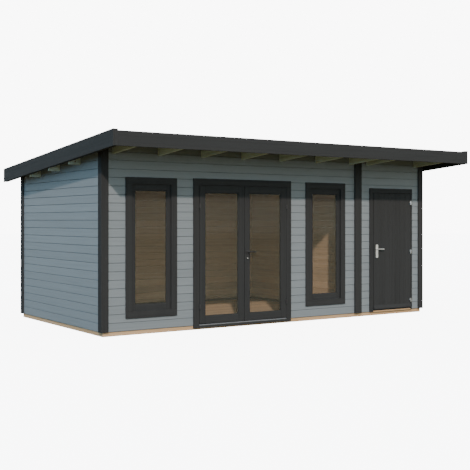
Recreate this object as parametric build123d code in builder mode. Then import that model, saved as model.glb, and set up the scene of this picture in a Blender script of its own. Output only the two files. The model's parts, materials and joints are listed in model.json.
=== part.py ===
from build123d import *
import math
import os

# Garden shed of interlocking logs with a pent roof, a glazed room and a side store.
# All sizes are in millimetres. X runs along the front, Y towards the back, Z up from the ground.
# The origin is on the ground, at the middle of the roof's outline.

# Walls
wall_length = 5890
wall_depth = 2960
log_thickness = 44
log_cover = 114  # height that each course of logs adds
log_groove_half = 5  # half the height of the V between two courses
log_groove_depth = 5
partition_centre = 4458  # from the left wall's outer face

# Foundation and floor
bearer_height = 60
bearer_width = 70
bearer_inset = 15
joist_width = 45
joist_spacing = 560
floor_thickness = 19
skirting_height = 40
skirting_thickness = 12

# Roof
roof_pitch = 4.4
front_overhang = 807
back_overhang = 205
side_overhang = 233
rafter_seat_height = 2365  # rafters' undersides above the bearers, at the front wall's outer face
rafter_width = 44
rafter_depth = 140
deck_thickness = 18
felt_thickness = 4
fascia_thickness = 20
side_fascia_thickness = 70  # a board over the outermost rafter
front_fascia_height = 193
back_fascia_height = 170
side_fascia_height = 214
front_fascia_lip = 3
side_fascia_lip = 22
first_rafter = 146  # left face of the first rafter, from the left wall's outer face
rafter_spacing = 690
room_rafter_count = 7
store_first_rafter = 4645
store_last_rafter = 5705
lookout_width = 44
lookout_depth = 198
first_lookout = 690  # front face, from the front wall's outer face
lookout_spacing = 732
lookout_count = 3

# Covers over the log ends
corner_cover_leg = 105
corner_cover_thickness = 20
partition_cover_width = 136
partition_cover_thickness = 30

# Casings, linings and stops of doors and windows
casing_width = 92
casing_thickness = 20
lining_thickness = 24
lining_depth = 66
stop_thickness = 14
stop_depth = 32
arris = 3  # bevel along the front edges of casings and covers
glazing_bevel = 9
glass_bite = 10  # depth of the groove that holds a pane

# Windows
window_inner_width = 604
window_inner_height = 1714
window_inner_sill = 257  # above the bearers
left_window_start = 434  # inner edge of the casing, from the left wall's outer face
right_window_start = 3494
sash_stile = 60
sash_rail = 86
sash_thickness = 40
sash_setback = 8  # behind the wall's outer face
glass_thickness = 16

# Double door
doors_start = 1489
doors_inner_width = 1534
doors_inner_top = 1980
doors_apron = 35  # casing below the top of the bearers
leaf_thickness = 44
leaf_stile = 97
leaf_rail = 105
hinge_gap = 5
meeting_gap = 8
leaf_top_gap = 5
leaf_bottom_gap = 6
threshold_height = 18
threshold_nose = 8  # height of the threshold's front edge
threshold_upstand = 30

# Store door
store_door_start = 4785
store_door_inner_width = 834
store_door_inner_top = 1925
store_casing_left = 73
store_casing_right = 38
store_casing_top = 75
latch_gap = 7
store_leaf_thickness = 40
plank_thickness = 20
plank_count = 7
plank_groove_half = 4
plank_groove_depth = 4
ledge_width = 95  # stiles, ledges and braces behind the planks
drip_bar_bottom = 41
drip_bar_height = 62
drip_bar_thickness = 18
drip_bar_nose = 14  # height of the drip bar's front edge

# Hinges
knuckle_radius = 9
knuckle_height = 30
knuckle_gap = 0.5
pin_radius = 4
pin_clearance = 0.05
pin_length = 25
pivot_setoff = 10  # pivot in front of the leaf's face
hinge_plate_width = 14
hinge_plate_thickness = 3
door_hinge_heights = (232, 1656)
store_hinge_heights = (123, 930, 1738)

# Levers and lock plates
spindle_radius = 5
spindle_clearance = 0.05
neck_radius = 9
neck_length = 42
lever_length = 130
lever_height = 20
lever_thickness = 12
lever_bend = 14
door_lever_height = 1023
rose_radius = 26
rose_thickness = 8
cylinder_drop = 93
key_rose_radius = 15
cylinder_radius = 9
cylinder_proud = 3
store_lever_height = 1016
store_lever_backset = 65
plate_width = 46
plate_height = 215
plate_thickness = 8
plate_corner = 12
plate_above_lever = 73

# Places worked out from the sizes above
slope = math.tan(math.radians(roof_pitch))
x_left = -wall_length / 2
x_right = wall_length / 2
y_front = -(wall_depth + back_overhang - front_overhang) / 2
y_back = y_front + wall_depth
y_eave_front = y_front - front_overhang
y_eave_back = y_back + back_overhang
x_eave_left = x_left - side_overhang
x_eave_right = x_right + side_overhang
z_wall = bearer_height
z_floor = z_wall + floor_thickness
x_partition = x_left + partition_centre
partition_faces = (x_partition - log_thickness / 2, x_partition + log_thickness / 2)
inner_left = x_left + log_thickness
inner_right = x_right - log_thickness
inner_front = y_front + log_thickness
inner_back = y_back - log_thickness
front_y = (y_front, inner_front)
casing_face = y_front - casing_thickness
leaf_face = casing_face
stop_y = (y_front + lining_depth - stop_depth, y_front + lining_depth)
joint_tolerance = 0.001  # joints closer to the end of a wall than this are left out

# Heads of the openings, and the course joint above them where the full-length logs begin
window_cut_z = (
    z_wall + window_inner_sill - lining_thickness,
    z_wall + window_inner_sill + window_inner_height + lining_thickness,
)
doors_top = z_wall + doors_inner_top
doors_cut_top = doors_top + lining_thickness
store_top = z_wall + store_door_inner_top
store_cut_top = store_top + lining_thickness
highest_head = max(window_cut_z[1], doors_cut_top, store_cut_top)
full_logs_bottom = z_wall + log_cover * math.ceil((highest_head - z_wall) / log_cover)

os.makedirs("parts", exist_ok=True)


def roof_line(y, rise=0.0):
    """Height of the rafters' underside at y, plus a rise."""
    return z_wall + rafter_seat_height - (y - y_front) * slope + rise


def block(x_span, y_span, z_span, mode=Mode.ADD):
    """A plain block between three pairs of limits."""
    with BuildSketch(Plane.XY.offset(z_span[0])) as outline:
        with Locations(((x_span[0] + x_span[1]) / 2, (y_span[0] + y_span[1]) / 2)):
            Rectangle(x_span[1] - x_span[0], y_span[1] - y_span[0])
    extrude(outline.sketch, amount=z_span[1] - z_span[0], mode=mode)


def side_profile(corners, x_span, mode=Mode.ADD):
    """A polygon of (y, z) corners carried along X."""
    with BuildSketch(Plane.YZ.offset(x_span[0])) as outline:
        with BuildLine():
            Polyline(*corners, close=True)
        make_face()
    extrude(outline.sketch, amount=x_span[1] - x_span[0], mode=mode)


def under_roof(x_span, y_span, z_bottom, rise, mode=Mode.ADD):
    """A wall or panel with a level bottom and a top along the roof's slope."""
    corners = [
        (y_span[0], z_bottom),
        (y_span[1], z_bottom),
        (y_span[1], roof_line(y_span[1], rise)),
        (y_span[0], roof_line(y_span[0], rise)),
    ]
    side_profile(corners, x_span, mode)


def sloping_bar(x_span, y_span, low, high, mode=Mode.ADD):
    """A bar along the slope between two rises above the rafters' underside, with plumb ends."""
    corners = [
        (y_span[0], roof_line(y_span[0], low)),
        (y_span[1], roof_line(y_span[1], low)),
        (y_span[1], roof_line(y_span[1], high)),
        (y_span[0], roof_line(y_span[0], high)),
    ]
    side_profile(corners, x_span, mode)


def groove_at(z):
    """Depth of the V between two courses of logs at height z."""
    from_joint = abs((z - z_wall + log_cover / 2) % log_cover - log_cover / 2)
    return log_groove_depth * max(0, 1 - from_joint / log_groove_half)


def log_profile(faces, bottom, top, smooth_inside=False):
    """Section of a log wall between two faces, with a V at each joint between courses on one or both."""
    joints = [z_wall + log_cover * course for course in range(math.ceil((top - z_wall) / log_cover) + 1)]
    turns = [joint + offset for joint in joints for offset in (-log_groove_half, 0, log_groove_half)]
    heights = [bottom, *(z for z in turns if bottom + joint_tolerance < z < top - joint_tolerance), top]
    first_face = [(faces[0] + groove_at(z), z) for z in heights]
    if smooth_inside:
        return [*first_face, (faces[1], top), (faces[1], bottom)]
    second_face = [(faces[1] - groove_at(z), z) for z in reversed(heights)]
    return first_face + second_face


def logs_along_x(x_span, y_span, bottom, top, smooth_inside=False):
    """A stretch of log wall that runs along X."""
    side_profile(log_profile(y_span, bottom, top, smooth_inside), x_span)


def logs_along_y(x_span, y_span, bottom, top):
    """A stretch of log wall that runs along Y."""
    with BuildSketch(Plane.XZ.offset(-y_span[0])) as section:
        with BuildLine():
            Polyline(*log_profile(x_span, bottom, top), close=True)
        make_face()
    extrude(section.sketch, amount=y_span[0] - y_span[1])


def trim_to_roof(x_span, y_span):
    """Cut away the wedge of a wall that stands above the underside of the roof boards."""
    high, low = (roof_line(y, rafter_depth) for y in y_span)
    side_profile([(y_span[0], high), (y_span[1], high), (y_span[1], low)], x_span, Mode.SUBTRACT)


def front_ring(outer, inner, y_span):
    """A rectangular ring in the plane of the front, between (x0, x1, z0, z1) limits."""
    block(outer[0:2], y_span, outer[2:4])
    block(inner[0:2], y_span, inner[2:4], mode=Mode.SUBTRACT)


def grown(limits, margin):
    """(x0, x1, z0, z1) limits moved outward by a margin."""
    return inside(limits, -margin, -margin)


def inside(limits, stile, rail):
    """(x0, x1, z0, z1) limits moved inward by the width of the stiles and rails around them."""
    return (limits[0] + stile, limits[1] - stile, limits[2] + rail, limits[3] - rail)


def threshold(x_span):
    """A threshold with a sloping nose and an upstand behind the leaves."""
    corners = [
        (casing_face, z_wall),
        (stop_y[1], z_wall),
        (stop_y[1], z_wall + threshold_upstand),
        (stop_y[0], z_wall + threshold_upstand),
        (stop_y[0], z_wall + threshold_height),
        (y_front, z_wall + threshold_height),
        (casing_face, z_wall + threshold_nose),
    ]
    side_profile(corners, x_span)


def door_lining(inner_x, cut_x, inner_top, cut_top):
    """The lining and stops of a doorway, open at the bottom."""
    lining_y = (y_front, y_front + lining_depth)
    block((cut_x[0], inner_x[0]), lining_y, (z_wall, cut_top))
    block((inner_x[1], cut_x[1]), lining_y, (z_wall, cut_top))
    block(inner_x, lining_y, (inner_top, cut_top))
    stop_z = (z_wall + threshold_upstand, inner_top)
    block((inner_x[0], inner_x[0] + stop_thickness), stop_y, stop_z)
    block((inner_x[1] - stop_thickness, inner_x[1]), stop_y, stop_z)
    block(inner_x, stop_y, (inner_top - stop_thickness, inner_top))


def y_cylinder(x, z, y_span, radius, mode=Mode.ADD):
    """A round bar along Y."""
    with BuildSketch(Plane.XZ.offset(-y_span[0])) as outline:
        with Locations((x, z)):
            Circle(radius)
    extrude(outline.sketch, amount=-(y_span[1] - y_span[0]), mode=mode)


def z_cylinder(x, y, z_span, radius, mode=Mode.ADD):
    """A round bar along Z."""
    with BuildSketch(Plane.XY.offset(z_span[0])) as outline:
        with Locations((x, y)):
            Circle(radius)
    extrude(outline.sketch, amount=z_span[1] - z_span[0], mode=mode)


def save(piece, name):
    """Label a finished piece and write its STEP file."""
    piece.label = name
    export_step(piece, f"parts/{name}.step")


rafter_starts = [x_left + first_rafter + rafter_spacing * i for i in range(room_rafter_count)]
rafter_starts += [x_left + store_first_rafter, x_left + store_last_rafter]
rafter_ends = (y_eave_front + fascia_thickness, y_eave_back - fascia_thickness)
deck_x = (x_eave_left + side_fascia_thickness, x_eave_right - side_fascia_thickness)
lookout_starts = [y_front + first_lookout + lookout_spacing * i for i in range(lookout_count)]

# Foundation: long bearers at the front and back, with cross bearers and joists between them
frame_x = (x_left + bearer_inset, x_right - bearer_inset)
frame_y = (y_front + bearer_inset, y_back - bearer_inset)
bearer_inner_y = (frame_y[0] + bearer_width, frame_y[1] - bearer_width)
bay_count = round((frame_x[1] - frame_x[0] - 2 * bearer_width) / joist_spacing)
bay_pitch = (frame_x[1] - frame_x[0] - 2 * bearer_width + joist_width) / bay_count
with BuildPart() as foundation_bearers:
    block(frame_x, (frame_y[0], bearer_inner_y[0]), (0, bearer_height))
    block(frame_x, (bearer_inner_y[1], frame_y[1]), (0, bearer_height))
save(foundation_bearers.part, "foundation_bearers")

with BuildPart() as foundation_joists:
    block((frame_x[0], frame_x[0] + bearer_width), bearer_inner_y, (0, bearer_height))
    block((frame_x[1] - bearer_width, frame_x[1]), bearer_inner_y, (0, bearer_height))
    for i in range(1, bay_count):
        joist_start = frame_x[0] + bearer_width - joist_width + bay_pitch * i
        block((joist_start, joist_start + joist_width), bearer_inner_y, (0, bearer_height))
save(foundation_joists.part, "foundation_joists")

# Openings in the front: what the linings fill
window_cuts = [
    (x_left + start - lining_thickness, x_left + start + window_inner_width + lining_thickness)
    for start in (left_window_start, right_window_start)
]
doors_inner = (x_left + doors_start, x_left + doors_start + doors_inner_width)
doors_cut = (doors_inner[0] - lining_thickness, doors_inner[1] + lining_thickness)
store_inner = (x_left + store_door_start, x_left + store_door_start + store_door_inner_width)
store_cut = (store_inner[0] - lining_thickness, store_inner[1] + lining_thickness)

# Floors, notched round the linings of the doorways
floors = {
    "room_floor": ((inner_left, partition_faces[0]), doors_cut),
    "store_floor": ((partition_faces[1], inner_right), store_cut),
}
for name, (x_span, doorway) in floors.items():
    with BuildPart() as floor:
        block(x_span, (inner_front, inner_back), (z_wall, z_floor))
        block(doorway, (inner_front, y_front + lining_depth), (z_wall, z_floor), Mode.SUBTRACT)
    save(floor.part, name)

# Side walls and partition: their tops follow the roof, and the lookouts pass through them
side_walls = {
    "left_wall": (x_left, inner_left),
    "right_wall": (inner_right, x_right),
    "partition_wall": partition_faces,
}
inner_y = (inner_front, inner_back)
for name, x_span in side_walls.items():
    with BuildPart() as side_wall:
        logs_along_y(x_span, inner_y, z_wall, roof_line(inner_front, rafter_depth))
        trim_to_roof(x_span, inner_y)
        if name != "partition_wall":
            for y in lookout_starts:
                lookout_y = (y, y + lookout_width)
                sloping_bar(x_span, lookout_y, rafter_depth - lookout_depth, rafter_depth, Mode.SUBTRACT)
    save(side_wall.part, name)

wall_x = (x_left, x_right)
back_y = (inner_back, y_back)
with BuildPart() as back_wall:
    logs_along_x(wall_x, back_y, z_wall, roof_line(inner_back, rafter_depth))
    trim_to_roof(wall_x, back_y)
    for x in rafter_starts:
        sloping_bar((x, x + rafter_width), rafter_ends, 0, rafter_depth, Mode.SUBTRACT)
save(back_wall.part, "back_wall")

# Front wall: piers beside the openings, short logs under and over them, full logs at the top
front_piers_x = (
    (x_left, window_cuts[0][0]),
    (window_cuts[0][1], doors_cut[0]),
    (doors_cut[1], window_cuts[1][0]),
    (window_cuts[1][1], store_cut[0]),
    (store_cut[1], x_right),
)
with BuildPart() as front_wall_piers:
    for x_span in front_piers_x:
        logs_along_x(x_span, front_y, z_wall, full_logs_bottom, smooth_inside=True)
save(front_wall_piers.part, "front_wall_piers")

with BuildPart() as front_wall_under_windows:
    for cut in window_cuts:
        logs_along_x(cut, front_y, z_wall, window_cut_z[0], smooth_inside=True)
save(front_wall_under_windows.part, "front_wall_under_windows")

heads = (
    (window_cuts[0], window_cut_z[1]),
    (doors_cut, doors_cut_top),
    (window_cuts[1], window_cut_z[1]),
    (store_cut, store_cut_top),
)
with BuildPart() as front_wall_over_openings:
    for cut, head in heads:
        logs_along_x(cut, front_y, head, full_logs_bottom, smooth_inside=True)
save(front_wall_over_openings.part, "front_wall_over_openings")

with BuildPart() as front_wall_top:
    logs_along_x(wall_x, front_y, full_logs_bottom, roof_line(y_front, rafter_depth), smooth_inside=True)
    trim_to_roof(wall_x, front_y)
    for x in rafter_starts:
        sloping_bar((x, x + rafter_width), rafter_ends, 0, rafter_depth, Mode.SUBTRACT)
save(front_wall_top.part, "front_wall_top")

# Covers over the crossing log ends, up to the roof boards
with BuildPart() as corner_covers:
    for x_edge, inward_x in ((x_left, 1), (x_right, -1)):
        for y_edge, inward_y in ((y_front, 1), (y_back, -1)):
            outer = (x_edge - inward_x * corner_cover_thickness, y_edge - inward_y * corner_cover_thickness)
            reach = (outer[0] + inward_x * corner_cover_leg, outer[1] + inward_y * corner_cover_leg)
            under_roof(sorted((outer[0], reach[0])), sorted((outer[1], y_edge)), z_wall, rafter_depth)
            under_roof(sorted((outer[0], x_edge)), sorted((outer[1], reach[1])), z_wall, rafter_depth)
save(corner_covers.part, "corner_covers")

with BuildPart() as partition_covers:
    cover_x = (x_partition - partition_cover_width / 2, x_partition + partition_cover_width / 2)
    under_roof(cover_x, (y_front - partition_cover_thickness, y_front), z_wall, rafter_depth)
    under_roof(cover_x, (y_back, y_back + partition_cover_thickness), z_wall, rafter_depth)
save(partition_covers.part, "partition_covers")

# Windows: linings through the wall with casings, fixed sashes, and panes in grooves of the sashes
window_inners = [grown((*cut, *window_cut_z), -lining_thickness) for cut in window_cuts]
sash_y = (y_front + sash_setback, y_front + sash_setback + sash_thickness)
window_pane_y = (sum(sash_y) / 2 - glass_thickness / 2, sum(sash_y) / 2 + glass_thickness / 2)
window_lights = [inside(inner, sash_stile, sash_rail) for inner in window_inners]
with BuildPart() as window_frames:
    for inner in window_inners:
        front_ring(grown(inner, lining_thickness), inner, (y_front, y_front + lining_depth))
        front_ring(grown(inner, casing_width), inner, (casing_face, y_front))
    chamfer(window_frames.faces().sort_by(Axis.Y)[:2].edges(), arris)
save(window_frames.part, "window_frames")

with BuildPart() as window_sashes:
    for inner, light in zip(window_inners, window_lights):
        front_ring(inner, light, sash_y)
    for face in window_sashes.faces().sort_by(Axis.Y)[:2]:
        chamfer(face.inner_wires().edges(), glazing_bevel)
    for light in window_lights:
        held = grown(light, glass_bite)
        block(held[0:2], window_pane_y, held[2:4], mode=Mode.SUBTRACT)
save(window_sashes.part, "window_sashes")

with BuildPart() as window_panes:
    for light in window_lights:
        held = grown(light, glass_bite)
        block(held[0:2], window_pane_y, held[2:4])
save(window_panes.part, "window_panes")

# Double door: frame with casing, apron and stops, a threshold, and two glazed leaves
with BuildPart() as doors_frame:
    casing_x = (doors_inner[0] - casing_width, doors_inner[1] + casing_width)
    casing_z = (z_wall - doors_apron, doors_top + casing_width)
    front_ring((*casing_x, *casing_z), (*doors_inner, z_wall, doors_top), (casing_face, y_front))
    chamfer(doors_frame.faces().sort_by(Axis.Y)[0].edges(), arris)
    door_lining(doors_inner, doors_cut, doors_top, doors_cut_top)
save(doors_frame.part, "doors_frame")

with BuildPart() as doors_threshold:
    threshold(doors_inner)
save(doors_threshold.part, "doors_threshold")

doors_middle = sum(doors_inner) / 2
leaf_y = (leaf_face, leaf_face + leaf_thickness)
leaf_z = (z_wall + threshold_height + leaf_bottom_gap, doors_top - leaf_top_gap)
leaf_pane_y = (sum(leaf_y) / 2 - glass_thickness / 2, sum(leaf_y) / 2 + glass_thickness / 2)
leaf_spans = {
    "left": (doors_inner[0] + hinge_gap, doors_middle - meeting_gap / 2),
    "right": (doors_middle + meeting_gap / 2, doors_inner[1] - hinge_gap),
}
leaf_pivots = {"left": doors_inner[0] + hinge_gap / 2, "right": doors_inner[1] - hinge_gap / 2}
towards_leaf = {"left": 1, "right": -1}
pivot_y = leaf_face - pivot_setoff
lever_x = leaf_spans["right"][0] + leaf_stile / 2
lever_z = z_wall + door_lever_height


def leaf_knuckles(pivot_x, direction, heights):
    """Upper halves of a door's hinges: bored knuckles on narrow lugs on the leaf's face."""
    for height in heights:
        start = z_wall + height + knuckle_height + knuckle_gap
        span = (start, start + knuckle_height)
        z_cylinder(pivot_x, pivot_y, span, knuckle_radius)
        plate_x = sorted((pivot_x + direction * hinge_gap / 2, pivot_x + direction * hinge_plate_width))
        block(plate_x, (leaf_face - hinge_plate_thickness, leaf_face), span)
        z_cylinder(pivot_x, pivot_y, span, pin_radius + pin_clearance, Mode.SUBTRACT)


def frame_knuckles(pivot_x, direction, heights):
    """Lower halves of a door's hinges: knuckles with pins, on narrow lugs on the casing."""
    for height in heights:
        span = (z_wall + height, z_wall + height + knuckle_height)
        z_cylinder(pivot_x, pivot_y, span, knuckle_radius)
        plate_x = sorted((pivot_x - direction * hinge_gap / 2, pivot_x - direction * hinge_plate_width))
        block(plate_x, (leaf_face - hinge_plate_thickness, leaf_face), span)
        z_cylinder(pivot_x, pivot_y, (span[1], span[1] + pin_length), pin_radius)


def lever_handles(x, z, y_span):
    """A spindle through a leaf with a neck and a level bar on each side, the bars bent from the necks."""
    y_cylinder(x, z, y_span, spindle_radius)
    for face, outward in ((y_span[0], -1), (y_span[1], 1)):
        far = face + outward * neck_length
        bend_start = far - outward * (lever_thickness + lever_bend)
        y_cylinder(x, z, sorted((face, bend_start)), neck_radius)
        with BuildSketch(Plane.XY.offset(z - lever_height / 2)) as bar:
            with BuildLine():
                Polyline(
                    (x - neck_radius, bend_start),
                    (x - neck_radius, far),
                    (x + lever_length, far),
                    (x + lever_length, far - outward * lever_thickness),
                    (x + neck_radius, far - outward * lever_thickness),
                    (x + neck_radius, bend_start),
                    close=True,
                )
            make_face()
            fillet(bar.vertices().sort_by_distance((x - neck_radius, far))[0], lever_bend)
        extrude(bar.sketch, amount=lever_height)


for side, span in leaf_spans.items():
    light = inside((*span, *leaf_z), leaf_stile, leaf_rail)
    held = grown(light, glass_bite)
    with BuildPart() as leaf:
        front_ring((*span, *leaf_z), light, leaf_y)
        chamfer(leaf.faces().sort_by(Axis.Y)[0].inner_wires().edges(), glazing_bevel)
        block(held[0:2], leaf_pane_y, held[2:4], mode=Mode.SUBTRACT)
        if side == "right":
            y_cylinder(lever_x, lever_z, leaf_y, spindle_radius + spindle_clearance, Mode.SUBTRACT)
    save(leaf.part, f"{side}_door_leaf")

    with BuildPart() as leaf_pane:
        block(held[0:2], leaf_pane_y, held[2:4])
    save(leaf_pane.part, f"{side}_door_pane")

    with BuildPart() as knuckles:
        leaf_knuckles(leaf_pivots[side], towards_leaf[side], door_hinge_heights)
    save(knuckles.part, f"{side}_door_hinges")

with BuildPart() as doors_frame_hinges:
    for side, pivot_x in leaf_pivots.items():
        frame_knuckles(pivot_x, towards_leaf[side], door_hinge_heights)
save(doors_frame_hinges.part, "doors_frame_hinges")

with BuildPart() as door_lever:
    lever_handles(lever_x, lever_z, (leaf_y[0] - rose_thickness, leaf_y[1] + rose_thickness))
save(door_lever.part, "door_lever")

with BuildPart() as door_lock:
    for face, outward in ((leaf_y[0], -1), (leaf_y[1], 1)):
        rose_y = sorted((face, face + outward * rose_thickness))
        y_cylinder(lever_x, lever_z, rose_y, rose_radius)
        y_cylinder(lever_x, lever_z, rose_y, spindle_radius + spindle_clearance, Mode.SUBTRACT)
        y_cylinder(lever_x, lever_z - cylinder_drop, rose_y, key_rose_radius)
save(door_lock.part, "door_lock")

# Store door: a frame cased on three sides, a wooden threshold and a boarded leaf
with BuildPart() as store_frame:
    casing_x = (store_inner[0] - store_casing_left, store_inner[1] + store_casing_right)
    casing_z = (z_wall, store_top + store_casing_top)
    block(casing_x, (casing_face, y_front), casing_z)
    block(store_inner, (casing_face, y_front), (z_wall, store_top), mode=Mode.SUBTRACT)
    chamfer(store_frame.faces().sort_by(Axis.Y)[0].edges(), arris)
    door_lining(store_inner, store_cut, store_top, store_cut_top)
save(store_frame.part, "store_door_frame")

with BuildPart() as store_threshold:
    threshold(store_inner)
save(store_threshold.part, "store_door_threshold")

store_leaf_x = (store_inner[0] + latch_gap, store_inner[1] - hinge_gap)
store_leaf_y = (leaf_face, leaf_face + store_leaf_thickness)
store_leaf_z = (z_wall + threshold_height + leaf_bottom_gap, store_top - leaf_top_gap)
store_lever_x = store_leaf_x[0] + store_lever_backset
store_lever_z = z_wall + store_lever_height
store_pivot_x = store_inner[1] - hinge_gap / 2
plank_back = leaf_face + plank_thickness
plank_width = (store_leaf_x[1] - store_leaf_x[0]) / plank_count
with BuildPart() as store_leaf:
    with BuildSketch(Plane.XY.offset(store_leaf_z[0])) as planks:
        with BuildLine():
            face_points = [(store_leaf_x[0], leaf_face)]
            for i in range(1, plank_count):
                joint_x = store_leaf_x[0] + plank_width * i
                face_points += [
                    (joint_x - plank_groove_half, leaf_face),
                    (joint_x, leaf_face + plank_groove_depth),
                    (joint_x + plank_groove_half, leaf_face),
                ]
            face_points.append((store_leaf_x[1], leaf_face))
            Polyline(*face_points, (store_leaf_x[1], plank_back), (store_leaf_x[0], plank_back), close=True)
        make_face()
    extrude(planks.sketch, amount=store_leaf_z[1] - store_leaf_z[0])
    ledge_y = (plank_back, store_leaf_y[1])
    stile_inner_x = (store_leaf_x[0] + ledge_width, store_leaf_x[1] - ledge_width)
    block((store_leaf_x[0], stile_inner_x[0]), ledge_y, store_leaf_z)
    block((stile_inner_x[1], store_leaf_x[1]), ledge_y, store_leaf_z)
    middle_ledge = (sum(store_leaf_z) / 2 - ledge_width / 2, sum(store_leaf_z) / 2 + ledge_width / 2)
    ledges = (
        (store_leaf_z[0], store_leaf_z[0] + ledge_width),
        middle_ledge,
        (store_leaf_z[1] - ledge_width, store_leaf_z[1]),
    )
    for ledge_z in ledges:
        block(stile_inner_x, ledge_y, ledge_z)
    for below, above in zip(ledges, ledges[1:]):
        with BuildSketch(Plane.XZ.offset(-plank_back)) as brace:
            with BuildLine():
                Polyline(
                    (stile_inner_x[1], below[1]),
                    (stile_inner_x[1], below[1] + ledge_width),
                    (stile_inner_x[0], above[0]),
                    (stile_inner_x[0], above[0] - ledge_width),
                    close=True,
                )
            make_face()
        extrude(brace.sketch, amount=plank_back - store_leaf_y[1])
    y_cylinder(store_lever_x, store_lever_z, store_leaf_y, spindle_radius + spindle_clearance, Mode.SUBTRACT)
save(store_leaf.part, "store_door_leaf")

with BuildPart() as drip_bar:
    bar_face = leaf_face - drip_bar_thickness
    bar_bottom = z_wall + drip_bar_bottom
    corners = [
        (leaf_face, bar_bottom),
        (bar_face, bar_bottom),
        (bar_face, bar_bottom + drip_bar_nose),
        (leaf_face, bar_bottom + drip_bar_height),
    ]
    side_profile(corners, store_leaf_x)
save(drip_bar.part, "store_door_drip_bar")

with BuildPart() as store_hinges:
    leaf_knuckles(store_pivot_x, -1, store_hinge_heights)
save(store_hinges.part, "store_door_hinges")

with BuildPart() as store_frame_hinges:
    frame_knuckles(store_pivot_x, -1, store_hinge_heights)
save(store_frame_hinges.part, "store_frame_hinges")

with BuildPart() as store_lever:
    lever_handles(
        store_lever_x, store_lever_z, (store_leaf_y[0] - plate_thickness, store_leaf_y[1] + plate_thickness)
    )
save(store_lever.part, "store_door_lever")

with BuildPart() as store_plates:
    plate_middle = store_lever_z + plate_above_lever - plate_height / 2
    for face, outward in ((store_leaf_y[0], -1), (store_leaf_y[1], 1)):
        plate_y = sorted((face, face + outward * plate_thickness))
        with BuildSketch(Plane.XZ.offset(-plate_y[0])) as plate:
            with Locations((store_lever_x, plate_middle)):
                RectangleRounded(plate_width, plate_height, plate_corner)
        extrude(plate.sketch, amount=-plate_thickness)
        y_cylinder(store_lever_x, store_lever_z, plate_y, spindle_radius + spindle_clearance, Mode.SUBTRACT)
        key_y = sorted((face, face + outward * (plate_thickness + cylinder_proud)))
        y_cylinder(store_lever_x, store_lever_z - cylinder_drop, key_y, cylinder_radius)
save(store_plates.part, "store_door_lock")

# Skirting along the foot of the walls inside
with BuildPart() as skirting:
    skirting_z = (z_floor, z_floor + skirting_height)
    for x_span in ((inner_left, partition_faces[0]), (partition_faces[1], inner_right)):
        block(x_span, (inner_back - skirting_thickness, inner_back), skirting_z)
    side_y = (inner_front, inner_back - skirting_thickness)
    for x_span in (
        (inner_left, inner_left + skirting_thickness),
        (partition_faces[0] - skirting_thickness, partition_faces[0]),
        (partition_faces[1], partition_faces[1] + skirting_thickness),
        (inner_right - skirting_thickness, inner_right),
    ):
        block(x_span, side_y, skirting_z)
save(skirting.part, "skirting")

# Roof
with BuildPart() as rafters:
    for x in rafter_starts:
        sloping_bar((x, x + rafter_width), rafter_ends, 0, rafter_depth)
save(rafters.part, "rafters")

with BuildPart() as lookouts:
    for x_span in (
        (deck_x[0], rafter_starts[0]),
        (rafter_starts[-1] + rafter_width, deck_x[1]),
    ):
        for y in lookout_starts:
            sloping_bar(x_span, (y, y + lookout_width), rafter_depth - lookout_depth, rafter_depth)
save(lookouts.part, "lookouts")

deck_rise = rafter_depth + deck_thickness
felt_rise = deck_rise + felt_thickness
with BuildPart() as roof_boards:
    sloping_bar(deck_x, rafter_ends, rafter_depth, deck_rise)
save(roof_boards.part, "roof_boards")

with BuildPart() as roofing_felt:
    sloping_bar(deck_x, (rafter_ends[0], y_eave_back), deck_rise, felt_rise)
save(roofing_felt.part, "roofing_felt")

front_fascia_top = roof_line(y_eave_front, felt_rise) + front_fascia_lip
with BuildPart() as front_fascia:
    block(
        deck_x,
        (y_eave_front, y_eave_front + fascia_thickness),
        (front_fascia_top - front_fascia_height, front_fascia_top),
    )
save(front_fascia.part, "front_fascia")

with BuildPart() as back_fascia:
    sloping_bar(deck_x, (rafter_ends[1], y_eave_back), deck_rise - back_fascia_height, deck_rise)
save(back_fascia.part, "back_fascia")

with BuildPart() as side_fascias:
    side_rise = felt_rise + side_fascia_lip
    for x_span in ((x_eave_left, deck_x[0]), (deck_x[1], x_eave_right)):
        sloping_bar(x_span, (y_eave_front, y_eave_back), side_rise - side_fascia_height, side_rise)
save(side_fascias.part, "side_fascias")
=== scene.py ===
"""A log-built garden shed: its finishes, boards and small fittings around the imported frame."""

from __future__ import annotations

import json
import logging
import math
import random
from dataclasses import dataclass, field
from enum import Enum
from functools import reduce

import bmesh
import bpy
from mathutils import Matrix, Vector

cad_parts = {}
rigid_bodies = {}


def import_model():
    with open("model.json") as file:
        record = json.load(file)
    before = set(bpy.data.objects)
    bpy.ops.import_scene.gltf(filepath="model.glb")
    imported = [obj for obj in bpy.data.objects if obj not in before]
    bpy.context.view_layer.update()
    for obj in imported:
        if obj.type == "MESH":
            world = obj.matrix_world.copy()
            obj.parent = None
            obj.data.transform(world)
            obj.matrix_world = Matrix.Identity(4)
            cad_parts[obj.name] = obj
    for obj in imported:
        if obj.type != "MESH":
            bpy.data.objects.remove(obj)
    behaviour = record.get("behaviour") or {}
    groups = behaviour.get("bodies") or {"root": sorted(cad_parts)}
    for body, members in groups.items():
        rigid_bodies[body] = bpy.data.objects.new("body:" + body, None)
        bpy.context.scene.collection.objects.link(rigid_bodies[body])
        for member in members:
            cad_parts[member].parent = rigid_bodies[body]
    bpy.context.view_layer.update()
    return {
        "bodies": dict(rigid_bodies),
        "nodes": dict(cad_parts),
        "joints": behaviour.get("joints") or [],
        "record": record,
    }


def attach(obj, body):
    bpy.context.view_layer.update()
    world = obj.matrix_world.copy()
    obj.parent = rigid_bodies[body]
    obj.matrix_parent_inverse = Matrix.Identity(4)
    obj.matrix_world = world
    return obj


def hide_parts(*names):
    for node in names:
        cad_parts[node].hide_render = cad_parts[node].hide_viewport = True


log = logging.getLogger("garden_shed")

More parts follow.
